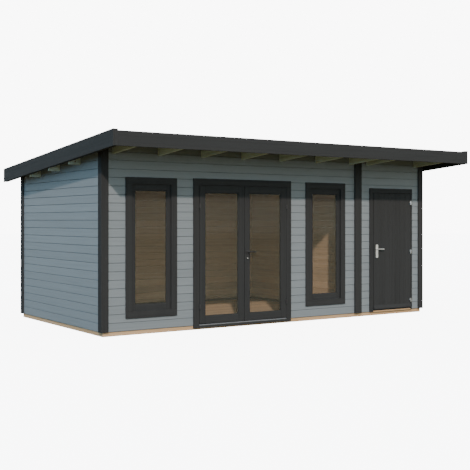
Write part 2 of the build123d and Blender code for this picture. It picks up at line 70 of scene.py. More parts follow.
Span = tuple[float, float]
Rect = tuple[float, float, float, float]  # left, right, bottom and top on the front wall
Triple = tuple[float, float, float]
Colour = Triple

HOUSE = "house"  # the body that stands still
GRAIN_MAP = "grain"  # a board's UV map, in metres along and across its fibres
TONE_LAYER = "tone"  # one random value for each board
TONE_DEPTH = 7.0  # spreads the boards' tones through the depth of the figure
GRAIN_RELIEF = 0.0006  # height of the grain on a board's face
BARE_SHOW = 0.6  # how much of that height shows on bare wood
PAINT_SHOW = 0.55  # and through paint
ARRIS = 0.003  # bevel along the edges of planed timber
LYING = Matrix.Rotation(math.pi / 2, 4, "X")  # lays an upright round along Y
FORWARD = Vector((0, -1, 0))
BACKWARD = Vector((0, 1, 0))
UP = Vector((0, 0, 1))


class Grain(Enum):
    """The direction in which the fibres of a board run."""

    X = 0
    Y = 1
    Z = 2


@dataclass(frozen=True)
class ShedSizes:
    """The places and sizes of the shed's main parts, in metres, as the CAD source has them."""

    # Outer faces of the walls
    x_left: float = -2.945
    x_right: float = 2.945
    y_front: float = -1.179
    y_back: float = 1.781
    # Heights above the ground
    z_wall: float = 0.060  # top of the bearers
    z_floor: float = 0.079
    # Walls
    wall: float = 0.044
    course: float = 0.114  # height that one log covers
    partition: float = 1.513  # middle of the partition
    cover: float = 0.020  # thickness of the covers at the corners
    middle_cover: float = 0.030  # thickness of the covers at the partition
    # Roof
    x_eave: float = 3.178
    y_eave: float = 1.986
    fascia: float = 0.020
    side_fascia: float = 0.070
    head_room: float = 0.001  # left in front of the fascias for the heads of their screws
    seat: float = 2.425  # underside of the rafters at the front wall
    pitch: float = 4.4
    rafter: float = 0.044
    rafters: tuple[float, ...] = (
        -2.799, -2.109, -1.419, -0.729, -0.039, 0.651, 1.341, 1.700, 2.760,
    )
    lookouts: tuple[float, ...] = (-0.489, 0.243, 0.975)
    felt_strip: float = 0.92
    # Openings, inside their linings
    casing_face: float = -1.199
    casing: float = 0.092
    lining: float = 0.024
    lining_back: float = -1.113
    windows: tuple[Rect, ...] = (
        (-2.511, -1.907, 0.317, 2.031),
        (0.549, 1.153, 0.317, 2.031),
    )
    doors: Rect = (-1.456, 0.078, 0.060, 2.040)
    store_door: Rect = (1.840, 2.674, 0.060, 1.985)

    @property
    def slope(self) -> float:
        """Fall of the roof for each metre towards the back."""
        return math.tan(math.radians(self.pitch))

    @property
    def deck_x(self) -> Span:
        """Ends of the roof boards, between the side fascias."""
        return (-self.x_eave + self.side_fascia, self.x_eave - self.side_fascia)

    @property
    def deck_y(self) -> Span:
        """Ends of the rafters, between the front and back fascias."""
        return (-self.y_eave + self.fascia, self.y_eave - self.fascia)

    def roof_line(self, y: float, rise: float = 0.0) -> float:
        """Gives the height of the rafters' underside at a place, with a rise added."""
        return self.seat - (y - self.y_front) * self.slope + rise


SIZES = ShedSizes()


# Shader maths


class Signal:
    """A node's output, which adds its Math nodes when it is used in an expression."""

    def __init__(self, desk: NodeDesk, socket: bpy.types.NodeSocket) -> None:
        """Wraps an output in a desk's tree."""
        self.desk = desk
        self.socket = socket

    def _with(self, operation: str, *others: Signal | float) -> Signal:
        """Adds a Math node with this value first."""
        return self.desk.math(operation, self, *others)

    def __add__(self, other: Signal | float) -> Signal:
        """Adds."""
        return self._with("ADD", other)

    def __radd__(self, other: float) -> Signal:
        """Adds."""
        return self._with("ADD", other)

    def __sub__(self, other: Signal | float) -> Signal:
        """Takes away."""
        return self._with("SUBTRACT", other)

    def __rsub__(self, other: float) -> Signal:
        """Takes this value away from a number."""
        return self.desk.math("SUBTRACT", other, self)

    def __mul__(self, other: Signal | float) -> Signal:
        """Multiplies."""
        return self._with("MULTIPLY", other)

    def __truediv__(self, other: float) -> Signal:
        """Divides."""
        return self._with("DIVIDE", other)

    def __abs__(self) -> Signal:
        """Drops the sign."""
        return self._with("ABSOLUTE")

    def whole(self) -> Signal:
        """Rounds down."""
        return self._with("FLOOR")

    def lesser(self, other: Signal | float) -> Signal:
        """Takes the smaller of two values."""
        return self._with("MINIMUM", other)

    def greater(self, other: Signal | float) -> Signal:
        """Takes the larger of two values."""
        return self._with("MAXIMUM", other)

    def sway(self, amount: float) -> Signal:
        """Turns a value from 0 to 1 into one that sways about 0 by half the amount."""
        return (self - 0.5) * amount

    def rising(self, low: float, high: float) -> Signal:
        """Turns the value into a smooth step.

        Args:
            low: Where the step starts from 0.
            high: Where the step has reached 1.

        Returns:
            The step.
        """
        return self.desk.node(
            "ShaderNodeMapRange",
            {"interpolation_type": "SMOOTHSTEP"},
            {"Value": self, "From Min": low, "From Max": high},
        )

    def falling(self, low: float, high: float) -> Signal:
        """Turns the value into a smooth step from 1 down to 0."""
        return 1.0 - self.rising(low, high)

    def within(self, span: Span, soft: float = 0.0004) -> Signal:
        """Masks the places between two limits, with soft edges."""
        low, high = span
        return self.rising(low - soft, low + soft) * self.falling(high - soft, high + soft)

    def sibling(self, output: str | int) -> Signal:
        """Gives another output of the same node."""
        return Signal(self.desk, self.socket.node.outputs[output])


class NodeDesk:
    """A node tree, and the means to wire it."""

    def __init__(self, tree: bpy.types.NodeTree) -> None:
        """Takes up a tree."""
        self.tree = tree

    def node(
        self,
        kind: str,
        settings: dict[str, object] | None = None,
        inputs: dict[str | int, object] | None = None,
        output: str | int = 0,
    ) -> Signal:
        """Adds a node of any kind.

        Args:
            kind: The node's type.
            settings: Its properties, set first; stops holds a ramp's places and colours.
            inputs: The values or links of its sockets.
            output: The output that is wanted.

        Returns:
            That output.
        """
        made = self.tree.nodes.new(kind)
        for key, value in (settings or {}).items():
            if key == "stops":
                elements = made.color_ramp.elements
                while len(elements) < len(value):
                    elements.new(0.5)
                for element, (place, colour) in zip(elements, value):
                    element.position = place
                    element.color = (*colour, 1.0)
            else:
                setattr(made, key, value)
        for key, value in (inputs or {}).items():
            self.plug(made.inputs[key], value)
        return Signal(self, made.outputs[output])

    def plug(self, socket: bpy.types.NodeSocket, value: Signal | float | Triple) -> None:
        """Links a signal to a socket, or sets the socket's own value.

        Args:
            socket: The input.
            value: A signal, a number, or a vector or colour of three numbers.
        """
        if isinstance(value, Signal):
            self.tree.links.new(value.socket, socket)
        elif isinstance(value, tuple) and socket.type == "RGBA":
            socket.default_value = (*value, 1.0)
        else:
            socket.default_value = value

    def math(self, operation: str, *values: Signal | float) -> Signal:
        """Adds a Math node."""
        return self.node("ShaderNodeMath", {"operation": operation}, dict(enumerate(values)))

    def blend(
        self, factor: Signal | float, first: Signal | Colour, second: Signal | Colour
    ) -> Signal:
        """Mixes two colours, from the first at a factor of 0 to the second at 1."""
        inputs = {0: factor, 6: first, 7: second}
        return self.node("ShaderNodeMix", {"data_type": "RGBA"}, inputs, 2)

    def dim(self, colour: Signal, share: Signal) -> Signal:
        """Multiplies all of a colour by one value."""
        inputs = {0: colour, "Scale": share}
        return self.node("ShaderNodeVectorMath", {"operation": "SCALE"}, inputs)

    def scaled(self, place: Signal, scale: Triple) -> Signal:
        """Stretches a place by a factor for each axis."""
        inputs = {0: place, 1: scale}
        return self.node("ShaderNodeVectorMath", {"operation": "MULTIPLY"}, inputs)

    def join(self, x: Signal, y: Signal, z: Signal) -> Signal:
        """Makes a vector of three values."""
        return self.node("ShaderNodeCombineXYZ", {}, {0: x, 1: y, 2: z})

    def split(self, place: Signal) -> tuple[Signal, Signal, Signal]:
        """Gives a vector's three values."""
        x = self.node("ShaderNodeSeparateXYZ", {}, {0: place})
        return x, x.sibling(1), x.sibling(2)

    def noise(
        self, place: Signal, scale: float = 1.0, detail: float = 3.0, twist: float = 0.0
    ) -> Signal:
        """Adds a soft noise from 0 to 1, its scale counted in features a metre."""
        inputs = {"Vector": place, "Scale": scale, "Detail": detail, "Distortion": twist}
        return self.node("ShaderNodeTexNoise", {}, {**inputs, "Roughness": 0.55})

    def chance(self, value: Signal) -> Signal:
        """Gives a steady random value for each value."""
        return self.node("ShaderNodeTexWhiteNoise", {"noise_dimensions": "1D"}, {"W": value})

    def object_place(self) -> Signal:
        """Gives the place on the piece, in metres."""
        return self.node("ShaderNodeTexCoord", {}, {}, "Object")

    def camera_ray(self) -> Signal:
        """Gives 1 for what the camera sees and 0 for the light that falls on the shed."""
        return self.node("ShaderNodeLightPath", {}, {}, "Is Camera Ray")

    def bump(self, height: Signal, distance: float, strength: float) -> Signal:
        """Raises the surface by a height map, whose 1 stands for the distance in metres."""
        inputs = {"Height": height, "Distance": distance, "Strength": strength}
        return self.node("ShaderNodeBump", {}, inputs)


class ShaderDesk(NodeDesk):
    """A new material with one Principled shader."""

    def __init__(self, name: str) -> None:
        """Starts a material.

        Args:
            name: The material's name.
        """
        self.material = bpy.data.materials.new(name)
        self.material.use_nodes = True
        super().__init__(self.material.node_tree)
        self.shader = self.tree.nodes["Principled BSDF"]

    def finish(self, **sockets: Signal | float | Triple) -> bpy.types.Material:
        """Wires the Principled shader.

        Args:
            **sockets: Its sockets, with underscores for spaces.

        Returns:
            The finished material.
        """
        for name, value in sockets.items():
            self.plug(self.shader.inputs[name.replace("_", " ")], value)
        return self.material


@dataclass
class WoodFigure:
    """The figure of softwood at each place: streaks of grain, fine fibres and knots."""

    desk: ShaderDesk
    along: Signal
    across: Signal
    depth: Signal
    knots: float = 8.5  # cells a metre, of which few hold a knot
    rare: Span = (0.80, 0.82)
    halo: Span = (0.08, 0.30)  # from the middle of a knot, in cells
    core: Span = (0.07, 0.11)
    bend: float = 0.006  # how far the grain gives way to a knot
    band_waves: Triple = (0.8, 34.0, 34.0)  # a metre along, across and into the board
    fibre_waves: Triple = (9.0, 620.0, 620.0)
    cloud_waves: Triple = (0.9, 2.2, 2.2)

    def __post_init__(self) -> None:
        """Wires the patterns."""
        desk = self.desk
        place = desk.join(self.along, self.across, self.depth)
        cells = {"Vector": place, "Scale": self.knots, "Randomness": 1.0}
        distance = desk.node("ShaderNodeTexVoronoi", {}, cells)
        rare = desk.split(distance.sibling("Color"))[0].rising(*self.rare)
        self.near_knot = distance.falling(*self.halo) * rare
        self.knot = distance.falling(*self.core) * rare
        bent = desk.join(self.along, self.across + self.near_knot * self.bend, self.depth)
        self.bands = desk.noise(desk.scaled(bent, self.band_waves), twist=0.5)
        self.fibres = desk.noise(desk.scaled(bent, self.fibre_waves), detail=2.0)
        self.cloud = desk.noise(desk.scaled(place, self.cloud_waves), detail=2.0)

    @classmethod
    def of_board(cls, desk: ShaderDesk) -> tuple[WoodFigure, Signal]:
        """Reads the grain and the tone that each board carries.

        Args:
            desk: The material at work.

        Returns:
            The figure, and the tone from 0 to 1.
        """
        u, v, _ = desk.split(desk.node("ShaderNodeUVMap", {"uv_map": GRAIN_MAP}))
        tone = desk.node("ShaderNodeAttribute", {"attribute_name": TONE_LAYER}, {}, "Fac")
        return cls(desk, u, v, tone * TONE_DEPTH), tone


# Finishes


@dataclass(frozen=True)
class SpruceTint:
    """The colours of bare spruce, and how strongly its marks show."""

    light: Colour
    dark: Colour
    knot: Colour
    bands: Span = (0.35, 0.68)
    fibres: Span = (0.45, 0.75)
    fibre_share: float = 0.22
    halo_share: float = 0.35
    knot_share: float = 0.85
    shade: float = 0.86
    tone_share: float = 0.22
    cloud_share: float = 0.12

    def colour(self, desk: ShaderDesk, figure: WoodFigure, tone: Signal) -> Signal:
        """Colours bare wood.

        Args:
            desk: The material at work.
            figure: Its grain.
            tone: A value for each board, from 0 to 1.

        Returns:
            The colour.
        """
        wood = desk.blend(figure.bands.rising(*self.bands), self.light, self.dark)
        fine = figure.fibres.rising(*self.fibres) * self.fibre_share
        wood = desk.blend(fine, wood, self.dark)
        wood = desk.blend(figure.near_knot * self.halo_share, wood, self.dark)
        wood = desk.blend(figure.knot * self.knot_share, wood, self.knot)
        shade = self.shade + tone * self.tone_share + figure.cloud.sway(self.cloud_share)
        return desk.dim(wood, shade)


PALE_SPRUCE = SpruceTint((0.66, 0.455, 0.265), (0.56, 0.36, 0.185), (0.19, 0.085, 0.035))
ROOM_SPRUCE = SpruceTint((0.66, 0.50, 0.325), (0.585, 0.425, 0.26), (0.20, 0.105, 0.05))
# Darker and greener than the other spruce: painted shade for the roof boards seen under the
# eaves.
SHADED_EAVES_SPRUCE = SpruceTint((0.40, 0.415, 0.275), (0.31, 0.32, 0.20), (0.14, 0.12, 0.07))
# Greenish as pressure-treated timber, with more green added as painted bounce light for the shade
# under the eaves.
RAFTER_SPRUCE = SpruceTint((0.61, 0.70, 0.595), (0.505, 0.58, 0.48), (0.22, 0.19, 0.12))


@dataclass(frozen=True)
class BoardWood:
    """Bare boards, whose grain follows the UV map that each board carries."""

    name: str
    tint: SpruceTint
    roughness: float
    dark_ends: bool = False  # whether the end grain at the rafters' ends is darker
    end_grain: Span = (0.006, 0.003)  # before the rafters' ends
    end_share: float = 0.75
    rough_sway: float = 0.18
    gloss: float = 0.35
    relief: Span = (0.45, 0.55)  # of the bands and the fibres

    def make(self) -> bpy.types.Material:
        """Builds the material.

        Returns:
            The material, ready to be put on pieces.
        """
        desk = ShaderDesk(self.name)
        figure, tone = WoodFigure.of_board(desk)
        height = figure.bands * self.relief[0] + figure.fibres * self.relief[1]
        colour = self.tint.colour(desk, figure, tone)
        if self.dark_ends:
            low, high = (SIZES.deck_y[1] - depth for depth in self.end_grain)
            end = abs(desk.split(desk.object_place())[1]).rising(low, high)
            colour = desk.blend(end * self.end_share, colour, self.tint.knot)
        return desk.finish(
            Base_Color=colour,
            Roughness=self.roughness + figure.bands.sway(self.rough_sway),
            Specular_IOR_Level=self.gloss,
            Normal=desk.bump(height, GRAIN_RELIEF, BARE_SHOW),
        )


@dataclass(frozen=True)
class BareThreshold:
    """The bare wooden threshold of the store door, with its grain along X."""

    name: str = "bare_threshold"
    roughness: float = 0.6

    def make(self) -> bpy.types.Material:
        """Builds the material.

        Returns:
            The material, ready to be put on pieces.
        """
        desk = ShaderDesk(self.name)
        figure = WoodFigure(desk, *desk.split(desk.object_place()))
        return desk.finish(
            Base_Color=PALE_SPRUCE.colour(desk, figure, figure.cloud),
            Roughness=self.roughness,
            Normal=desk.bump(figure.bands, GRAIN_RELIEF, BARE_SHOW),
        )


@dataclass(frozen=True)
class PaintCoat:
    """An opaque paint on wood: its colour, and how it shows the grain under it."""

    colour: Colour
    grain_tint: Colour
    roughness: float
    gloss: float = 0.4
    bands: Span = (0.42, 0.72)
    band_share: float = 0.34
    fibres: Span = (0.5, 0.8)
    fibre_share: float = 0.22
    knot_share: float = 0.30
    shade: float = 0.955
    tone_share: float = 0.075
    cloud_share: float = 0.10
    rough_sway: Span = (0.16, 0.10)  # with the bands and with the cloud
    relief: Triple = (0.4, 0.35, 0.25)  # of the bands, the fibres and the knots

    def coat(
        self, desk: ShaderDesk, figure: WoodFigure, tone: Signal
    ) -> tuple[Signal, Signal, Signal]:
        """Paints a board.

        Args:
            desk: The material at work.
            figure: The grain under the paint.
            tone: A value for each board, from 0 to 1.

        Returns:
            The colour, the roughness and the height of the surface.
        """
        streaks = figure.bands.rising(*self.bands) * self.band_share
        streaks = streaks + figure.fibres.rising(*self.fibres) * self.fibre_share
        painted = desk.blend(streaks, self.colour, self.grain_tint)
        painted = desk.blend(figure.knot * self.knot_share, painted, self.grain_tint)
        shade = self.shade + tone * self.tone_share + figure.cloud.sway(self.cloud_share)
        by_bands, by_cloud = self.rough_sway
        rough = self.roughness + figure.bands.sway(by_bands) + figure.cloud.sway(by_cloud)
        bands, fibres, knots = self.relief
        height = figure.bands * bands + figure.fibres * fibres + figure.knot * knots
        return desk.dim(painted, shade), rough, height


BLUE_GREY = PaintCoat((0.210, 0.243, 0.260), (0.168, 0.198, 0.215), 0.56, 0.36)
ANTHRACITE = PaintCoat((0.0386, 0.0408, 0.0413), (0.0270, 0.0286, 0.0290), 0.66, 0.05)
SKIRTING_PAINT = PaintCoat((0.035, 0.026, 0.02), (0.02, 0.015, 0.012), 0.5)


@dataclass(frozen=True)
class BoardPaint:
    """Painted boards, whose grain follows the UV map that each board carries."""

    name: str
    paint: PaintCoat

    def make(self) -> bpy.types.Material:
        """Builds the material.

        Returns:
            The material, ready to be put on pieces.
        """
        desk = ShaderDesk(self.name)
        figure, tone = WoodFigure.of_board(desk)
        colour, rough, height = self.paint.coat(desk, figure, tone)
        return desk.finish(
            Base_Color=colour,
            Roughness=rough,
            Specular_IOR_Level=self.paint.gloss,
            Normal=desk.bump(height, GRAIN_RELIEF, PAINT_SHOW),
        )


@dataclass(frozen=True)
class LogWallFinish:
    """Courses of logs, painted outside and bare inside, with painted shade darkening the
    V-grooves between them.
    """

    name: str
    along: Grain
    bare: bool = False  # whether both faces are bare
    # The joint span and the colours below paint the shade that falls in the V-grooves between
    # logs, on paint and on bare wood.
    joint: Span = (0.0012, 0.0062)  # from the middle of a joint
    paint_groove_shade: Colour = (0.062, 0.074, 0.080)
    paint_groove_shade_share: float = 0.62
    bare_groove_shade: Colour = (0.07, 0.04, 0.02)
    bare_groove_shade_share: float = 0.26
    wall_seed: float = 17.3  # keeps the tones of two walls apart
    log_shift: Span = (31.0, 5.0)  # moves the grain of each log along and across
    soft: float = 0.001  # at the change from paint to bare wood
    relief: float = 0.0007

    def make(self) -> bpy.types.Material:
        """Builds the material for walls that run one way.

        Returns:
            The material, ready to be put on walls.
        """
        desk = ShaderDesk(self.name)
        x, y, z = desk.split(desk.object_place())
        height = (z - SIZES.z_wall) / SIZES.course
        course = height.whole()
        part = height - course
        from_joint = part.lesser(1.0 - part) * SIZES.course
        across = x if self.along is Grain.Y else y
        tone = desk.chance(course + across.whole() * self.wall_seed)
        along, depth = (x, y) if self.along is Grain.X else (y, x)
        shift, lift = self.log_shift
        figure = WoodFigure(desk, along + tone * shift, z + tone * lift, depth)
        painted, rough, raised = BLUE_GREY.coat(desk, figure, tone)
        # painted shade along the V-groove between two courses
        joint = from_joint.falling(*self.joint)
        painted = desk.blend(joint * self.paint_groove_shade_share, painted, self.paint_groove_shade)
        raw = ROOM_SPRUCE.colour(desk, figure, tone)
        raw = desk.blend(joint * self.bare_groove_shade_share, raw, self.bare_groove_shade)
        colour = raw if self.bare else desk.blend(self._inside(x, y), painted, raw)
        return desk.finish(
            Base_Color=colour,
            Roughness=rough,
            Specular_IOR_Level=BLUE_GREY.gloss,
            Normal=desk.bump(raised, self.relief, PAINT_SHOW),
        )

    def _inside(self, x: Signal, y: Signal) -> Signal:
        """Masks what lies within the middle of the outer walls.

        Args:
            x: The place along X.
            y: The place along Y.

        Returns:
            1 inside and 0 outside.
        """
        half = SIZES.wall / 2
        edge = SIZES.x_right - half
        inside = abs(x).falling(edge - self.soft, edge + self.soft)
        return inside * y.within((SIZES.y_front + half, SIZES.y_back - half), self.soft)


@dataclass(frozen=True)
class Seam:
    """A fine joint line between two painted boards, across X or across Z."""

    across: Grain
    at: float
    span: Span


def butt_seams(across: Grain, places: tuple[float, ...], *spans: Span) -> tuple[Seam, ...]:
    """Draws a seam at each place over each span."""
    return tuple(Seam(across, place, span) for place in places for span in spans)


@dataclass(frozen=True)
class FramePaint:
    """Paint on stiles and rails, whose grain turns at each rail and whose joints show."""

    name: str
    rails: tuple[Rect, ...] = ()
    seams: tuple[Seam, ...] = ()
    planks: Span | None = None  # the first plank's edge, and a plank's width
    plank_shift: float = 9.0  # moves the grain of each plank
    boards: Span = (7.0, 0.4)  # a metre along X and Z, each with its own tone
    row_seed: float = 3.0
    rail_tone: float = 0.3
    rail_shift: float = 2.0
    seam_half: Span = (0.0006, 0.0014)
    seam_colour: Colour = (0.008, 0.008, 0.009)
    seam_share: float = 0.8
    seam_depth: float = 1.5

    def make(self) -> bpy.types.Material:
        """Builds the material.

        Returns:
            The material, ready to be put on pieces.
        """
        desk = ShaderDesk(self.name)
        x, y, z = desk.split(desk.object_place())
        masks = [x.within((x0, x1)) * z.within((z0, z1)) for x0, x1, z0, z1 in self.rails]
        rail = reduce(Signal.greater, masks) if masks else y * 0.0
        along = z + (x - z) * rail
        across = x + (z - x) * rail
        if self.planks:
            start, width = self.planks
            tone = desk.chance(((x - start) / width).whole())
            along = along + tone * self.plank_shift
        else:
            column, row = (x * self.boards[0]).whole(), (z * self.boards[1]).whole()
            tone = desk.chance(column + row * self.row_seed) * (1.0 - self.rail_tone)
            tone = tone + rail * self.rail_tone
        figure = WoodFigure(desk, along, across, y + rail * self.rail_shift)
        colour, rough, raised = ANTHRACITE.coat(desk, figure, tone)
        if self.seams:
            line = reduce(Signal.greater, [self._line(seam, x, z) for seam in self.seams])
            colour = desk.blend(line * self.seam_share, colour, self.seam_colour)
            raised = raised - line * self.seam_depth
        return desk.finish(
            Base_Color=colour,
            Roughness=rough,
            Specular_IOR_Level=ANTHRACITE.gloss,
            Normal=desk.bump(raised, GRAIN_RELIEF, PAINT_SHOW),
        )

    def _line(self, seam: Seam, x: Signal, z: Signal) -> Signal:
        """Masks one seam."""
        axis, other = (x, z) if seam.across is Grain.X else (z, x)
        return abs(axis - seam.at).falling(*self.seam_half) * other.within(seam.span)


@dataclass(frozen=True)
class ClearGlazing:
    """Clear double glazing with a faint green-brown cast and a slight haze."""

    name: str = "clear_glazing"
    cast: Colour = (0.192, 0.202, 0.156)
    veil: float = 0.095  # how much of the cast covers what lies behind
    edge_veil: float = 0.50  # more of it at a slant
    haze_veil: float = 0.04
    slant: float = 0.28
    gloss: float = 0.5
    roughness: float = 0.03
    haze_rough: float = 0.03
    haze_waves: float = 3.5  # a metre
    ripple: float = 0.0015
    ripple_waves: float = 1.3

    def make(self) -> bpy.types.Material:
        """Builds the material.

        Returns:
            The material, ready to be put on pieces.
        """
        desk = ShaderDesk(self.name)
        place = desk.object_place()
        haze = desk.noise(place, self.haze_waves, twist=0.4)
        ripples = desk.noise(place, self.ripple_waves, detail=1.0)
        edge = desk.node("ShaderNodeLayerWeight", {}, {"Blend": self.slant}, "Fresnel")
        return desk.finish(
            Base_Color=self.cast,
            Roughness=self.roughness + haze * self.haze_rough,
            Specular_IOR_Level=self.gloss,
            Alpha=self.veil + edge * self.edge_veil + haze.sway(self.haze_veil),
            Normal=desk.bump(ripples, self.ripple, 0.25),
        )


@dataclass(frozen=True)
class Metal:
    """A metal fitting, brushed along one direction or coated with a fine grain."""

    name: str
    colour: Colour
    metallic: float
    roughness: float
    brushed: Grain | None = None
    speckle: float = 0.0
    strokes: Span = (24.0, 1600.0)  # a metre along and across the brushing
    coat_grains: float = 900.0
    mark_share: float = 0.5
    wear_waves: float = 26.0
    wear_share: float = 0.2
    dark_share: float = 0.72
    rough_sway: Span = (0.16, 0.12)  # with the marks and with the wear
    relief: float = 0.00012
    relief_show: float = 0.4

    def make(self) -> bpy.types.Material:
        """Builds the material.

        Returns:
            The material, ready to be put on pieces.
        """
        desk = ShaderDesk(self.name)
        place = desk.object_place()
        if self.brushed is None:
            marks = desk.noise(place, self.coat_grains, detail=2.0)
        else:
            along, across = self.strokes
            stretch = tuple(along if axis is self.brushed else across for axis in Grain)
            marks = desk.noise(desk.scaled(place, stretch), detail=2.0)
        wear = desk.noise(place, self.wear_waves)
        dull = marks.rising(0.35, 0.7) * self.mark_share + wear * self.wear_share
        darker = tuple(c * self.dark_share for c in self.colour)
        by_marks, by_wear = self.rough_sway
        return desk.finish(
            Base_Color=desk.blend(dull, self.colour, darker),
            Metallic=self.metallic,
            Roughness=self.roughness + marks.sway(by_marks) + wear.sway(by_wear),
            Normal=desk.bump(marks, self.relief, self.relief_show + self.speckle),
        )


@dataclass(frozen=True)
class MineralFelt:
    """Bitumen felt with a slate granule surface, in strips that lap."""

    name: str = "mineral_felt"
    granules: float = 520.0  # a metre
    stones: tuple[tuple[float, Colour], ...] = (
        (0.0, (0.022, 0.024, 0.026)),
        (0.55, (0.055, 0.058, 0.062)),
        (1.0, (0.125, 0.13, 0.135)),
    )
    bleached: Colour = (0.085, 0.088, 0.09)
    bleached_share: float = 0.35
    cloud_waves: float = 1.6
    strip_tint: Colour = (0.045, 0.047, 0.050)
    strip_share: float = 0.30
    lap: Span = (0.002, 0.014)  # from a strip's edge
    lap_shadow: Colour = (0.012, 0.012, 0.013)
    lap_share: float = 0.75
    roughness: float = 0.88
    relief: float = 0.0008

    def make(self) -> bpy.types.Material:
        """Builds the material.

        Returns:
            The material, ready to be put on pieces.
        """
        desk = ShaderDesk(self.name)
        place = desk.object_place()
        cells = {"Vector": place, "Scale": self.granules}
        speck = desk.split(desk.node("ShaderNodeTexVoronoi", {}, cells, "Color"))[0]
        cloud = desk.noise(place, self.cloud_waves, detail=4.0)
        count = (desk.split(place)[1] - SIZES.y_eave) / SIZES.felt_strip
        strip = desk.chance(count.whole())
        from_edge = (count - count.whole()) * SIZES.felt_strip
        stone = desk.node("ShaderNodeValToRGB", {"stops": self.stones}, {0: speck})
        faded = cloud.rising(0.35, 0.75) * self.bleached_share
        colour = desk.blend(faded, stone, self.bleached)
        colour = desk.blend(strip * self.strip_share, colour, self.strip_tint)
        shadow = from_edge.falling(*self.lap) * self.lap_share
        return desk.finish(
            Base_Color=desk.blend(shadow, colour, self.lap_shadow),
            Roughness=self.roughness,
            Normal=desk.bump(speck, self.relief, 0.7),
        )


@dataclass(frozen=True)
class SoftRubber:
    """Dark rubber of a glazing gasket."""

    name: str = "gasket_rubber"
    dark: Colour = (0.010, 0.010, 0.010)
    light: Colour = (0.022, 0.022, 0.022)
    roughness: float = 0.55
    cloud_rough: float = 0.2
    cloud_waves: float = 60.0

    def make(self) -> bpy.types.Material:
        """Builds the material.

        Returns:
            The material, ready to be put on pieces.
        """
        desk = ShaderDesk(self.name)
        cloud = desk.noise(desk.object_place(), self.cloud_waves)
        return desk.finish(
            Base_Color=desk.blend(cloud, self.dark, self.light),
            Roughness=self.roughness + cloud * self.cloud_rough,
        )


class Finishes:
    """All the materials of the shed, made once."""

    def __init__(self) -> None:
        """Builds them."""
        self.logs_x = LogWallFinish("painted_logs_along_front", Grain.X).make()
        self.logs_y = LogWallFinish("painted_logs_along_side", Grain.Y).make()
        self.logs_bare = LogWallFinish("bare_partition_logs", Grain.Y, bare=True).make()
        self.anthracite = BoardPaint("anthracite_boards", ANTHRACITE).make()
        self.bare_threshold = BareThreshold().make()
        self.bearer = BoardWood("sawn_bearers", PALE_SPRUCE, 0.7).make()
        self.floor = BoardWood("floor_boards", ROOM_SPRUCE, 0.5).make()
        # the roof boards' spruce, darkened with painted shade
        self.eaves = BoardWood("eaves_timber_painted_shade", SHADED_EAVES_SPRUCE, 0.68).make()
        self.rafter = BoardWood("rafter_timber", RAFTER_SPRUCE, 0.68, dark_ends=True).make()
        self.skirting = BoardPaint("dark_skirting", SKIRTING_PAINT).make()
        self.glass = ClearGlazing().make()
        self.aluminium = Metal(
            "aluminium_threshold", (0.28, 0.30, 0.325), 0.5, 0.42, Grain.X
        ).make()
        self.steel = Metal("brushed_steel", (0.93, 0.92, 0.90), 0.9, 0.30, Grain.Z).make()
        self.galvanised = Metal("galvanised_nails", (0.26, 0.27, 0.28), 0.5, 0.62).make()
        self.dark_metal = Metal(
            "dark_coated_metal", (0.028, 0.028, 0.029), 0.0, 0.52, speckle=0.4
        ).make()
        self.anthracite_metal = Metal("painted_screws", (0.024, 0.025, 0.026), 0.0, 0.38).make()
        self.felt = MineralFelt().make()
        self.rubber = SoftRubber().make()


# Boards


def ordered(one: float, other: float) -> Span:
    """Puts two limits in order."""
    return (min(one, other), max(one, other))


def rows(span: Span, width: float) -> list[Span]:
    """Shares a span among boards of about one width.

    Args:
        span: The two ends.
        width: The width that is wanted.

    Returns:
        The limits of each row.
    """
    count = max(1, round((span[1] - span[0]) / width))
    step = (span[1] - span[0]) / count
    return [(span[0] + step * i, span[0] + step * (i + 1)) for i in range(count)]


def lengths(span: Span, cut: float, shortest: float = 0.2) -> list[Span]:
    """Cuts a span in two, unless that leaves too short an end.

    Args:
        span: The two ends.
        cut: Where it is cut.
        shortest: The shortest piece that is laid.

    Returns:
        The limits of each piece.
    """
    if not span[0] + shortest < cut < span[1] - shortest:
        return [span]
    return [(span[0], cut), (cut, span[1])]


def bevel(bm: bmesh.types.BMesh, edges: list[bmesh.types.BMEdge], width: float) -> None:
    """Rounds edges off in two steps.

    Args:
        bm: The mesh at work.
        edges: The edges.
        width: How far the rounding reaches on each side.
    """
    bmesh.ops.bevel(
        bm,
        geom=edges,
        offset=width,
        affect="EDGES",
        segments=2,
        profile=0.5,
        material=-1,
    )


def make_mesh(
    name: str, bm: bmesh.types.BMesh, material: bpy.types.Material
) -> bpy.types.Mesh:
    """Turns a finished bmesh into a mesh of one material.

    Args:
        name: The mesh's name.
        bm: The bmesh, which is freed.
        material: The material.

    Returns:
        The mesh.
    """
    mesh = bpy.data.meshes.new(name)
    bm.to_mesh(mesh)
    bm.free()
    mesh.materials.append(material)
    return mesh


def place_object(name: str, data: bpy.types.ID) -> bpy.types.Object:
    """Puts an object into the scene.

    Args:
        name: The object's name.
        data: Its mesh, lamp or camera.

    Returns:
        The object.
    """
    made = bpy.data.objects.new(name, data)
    bpy.context.scene.collection.objects.link(made)
    return made


def seat(mesh: bpy.types.Mesh, name: str, body: str, slot: str, *nodes: str) -> None:
    """Seats a finished piece on its body.

    Args:
        mesh: The mesh, in place.
        name: The piece's name.
        body: The CAD body that it rides on.
        slot: The record's material slot; not used.
        *nodes: The CAD nodes that it stands for.
    """
    piece = place_object(name, mesh)
    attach(piece, body)
    if nodes:
        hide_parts(*nodes)
    log.info("%s: %d faces on %s", name, len(mesh.polygons), body)


def dress(
    nodes: dict[str, bpy.types.Object], names: str, material: bpy.types.Material
) -> None:
    """Gives CAD nodes a material.

    Args:
        nodes: The frame's nodes.
        names: The nodes' names, with spaces between them.
        material: The material.
    """
    for name in names.split():
        mesh = nodes[name].data
        mesh.materials.clear()
        mesh.materials.append(material)
        log.info("%s wears %s", name, material.name)


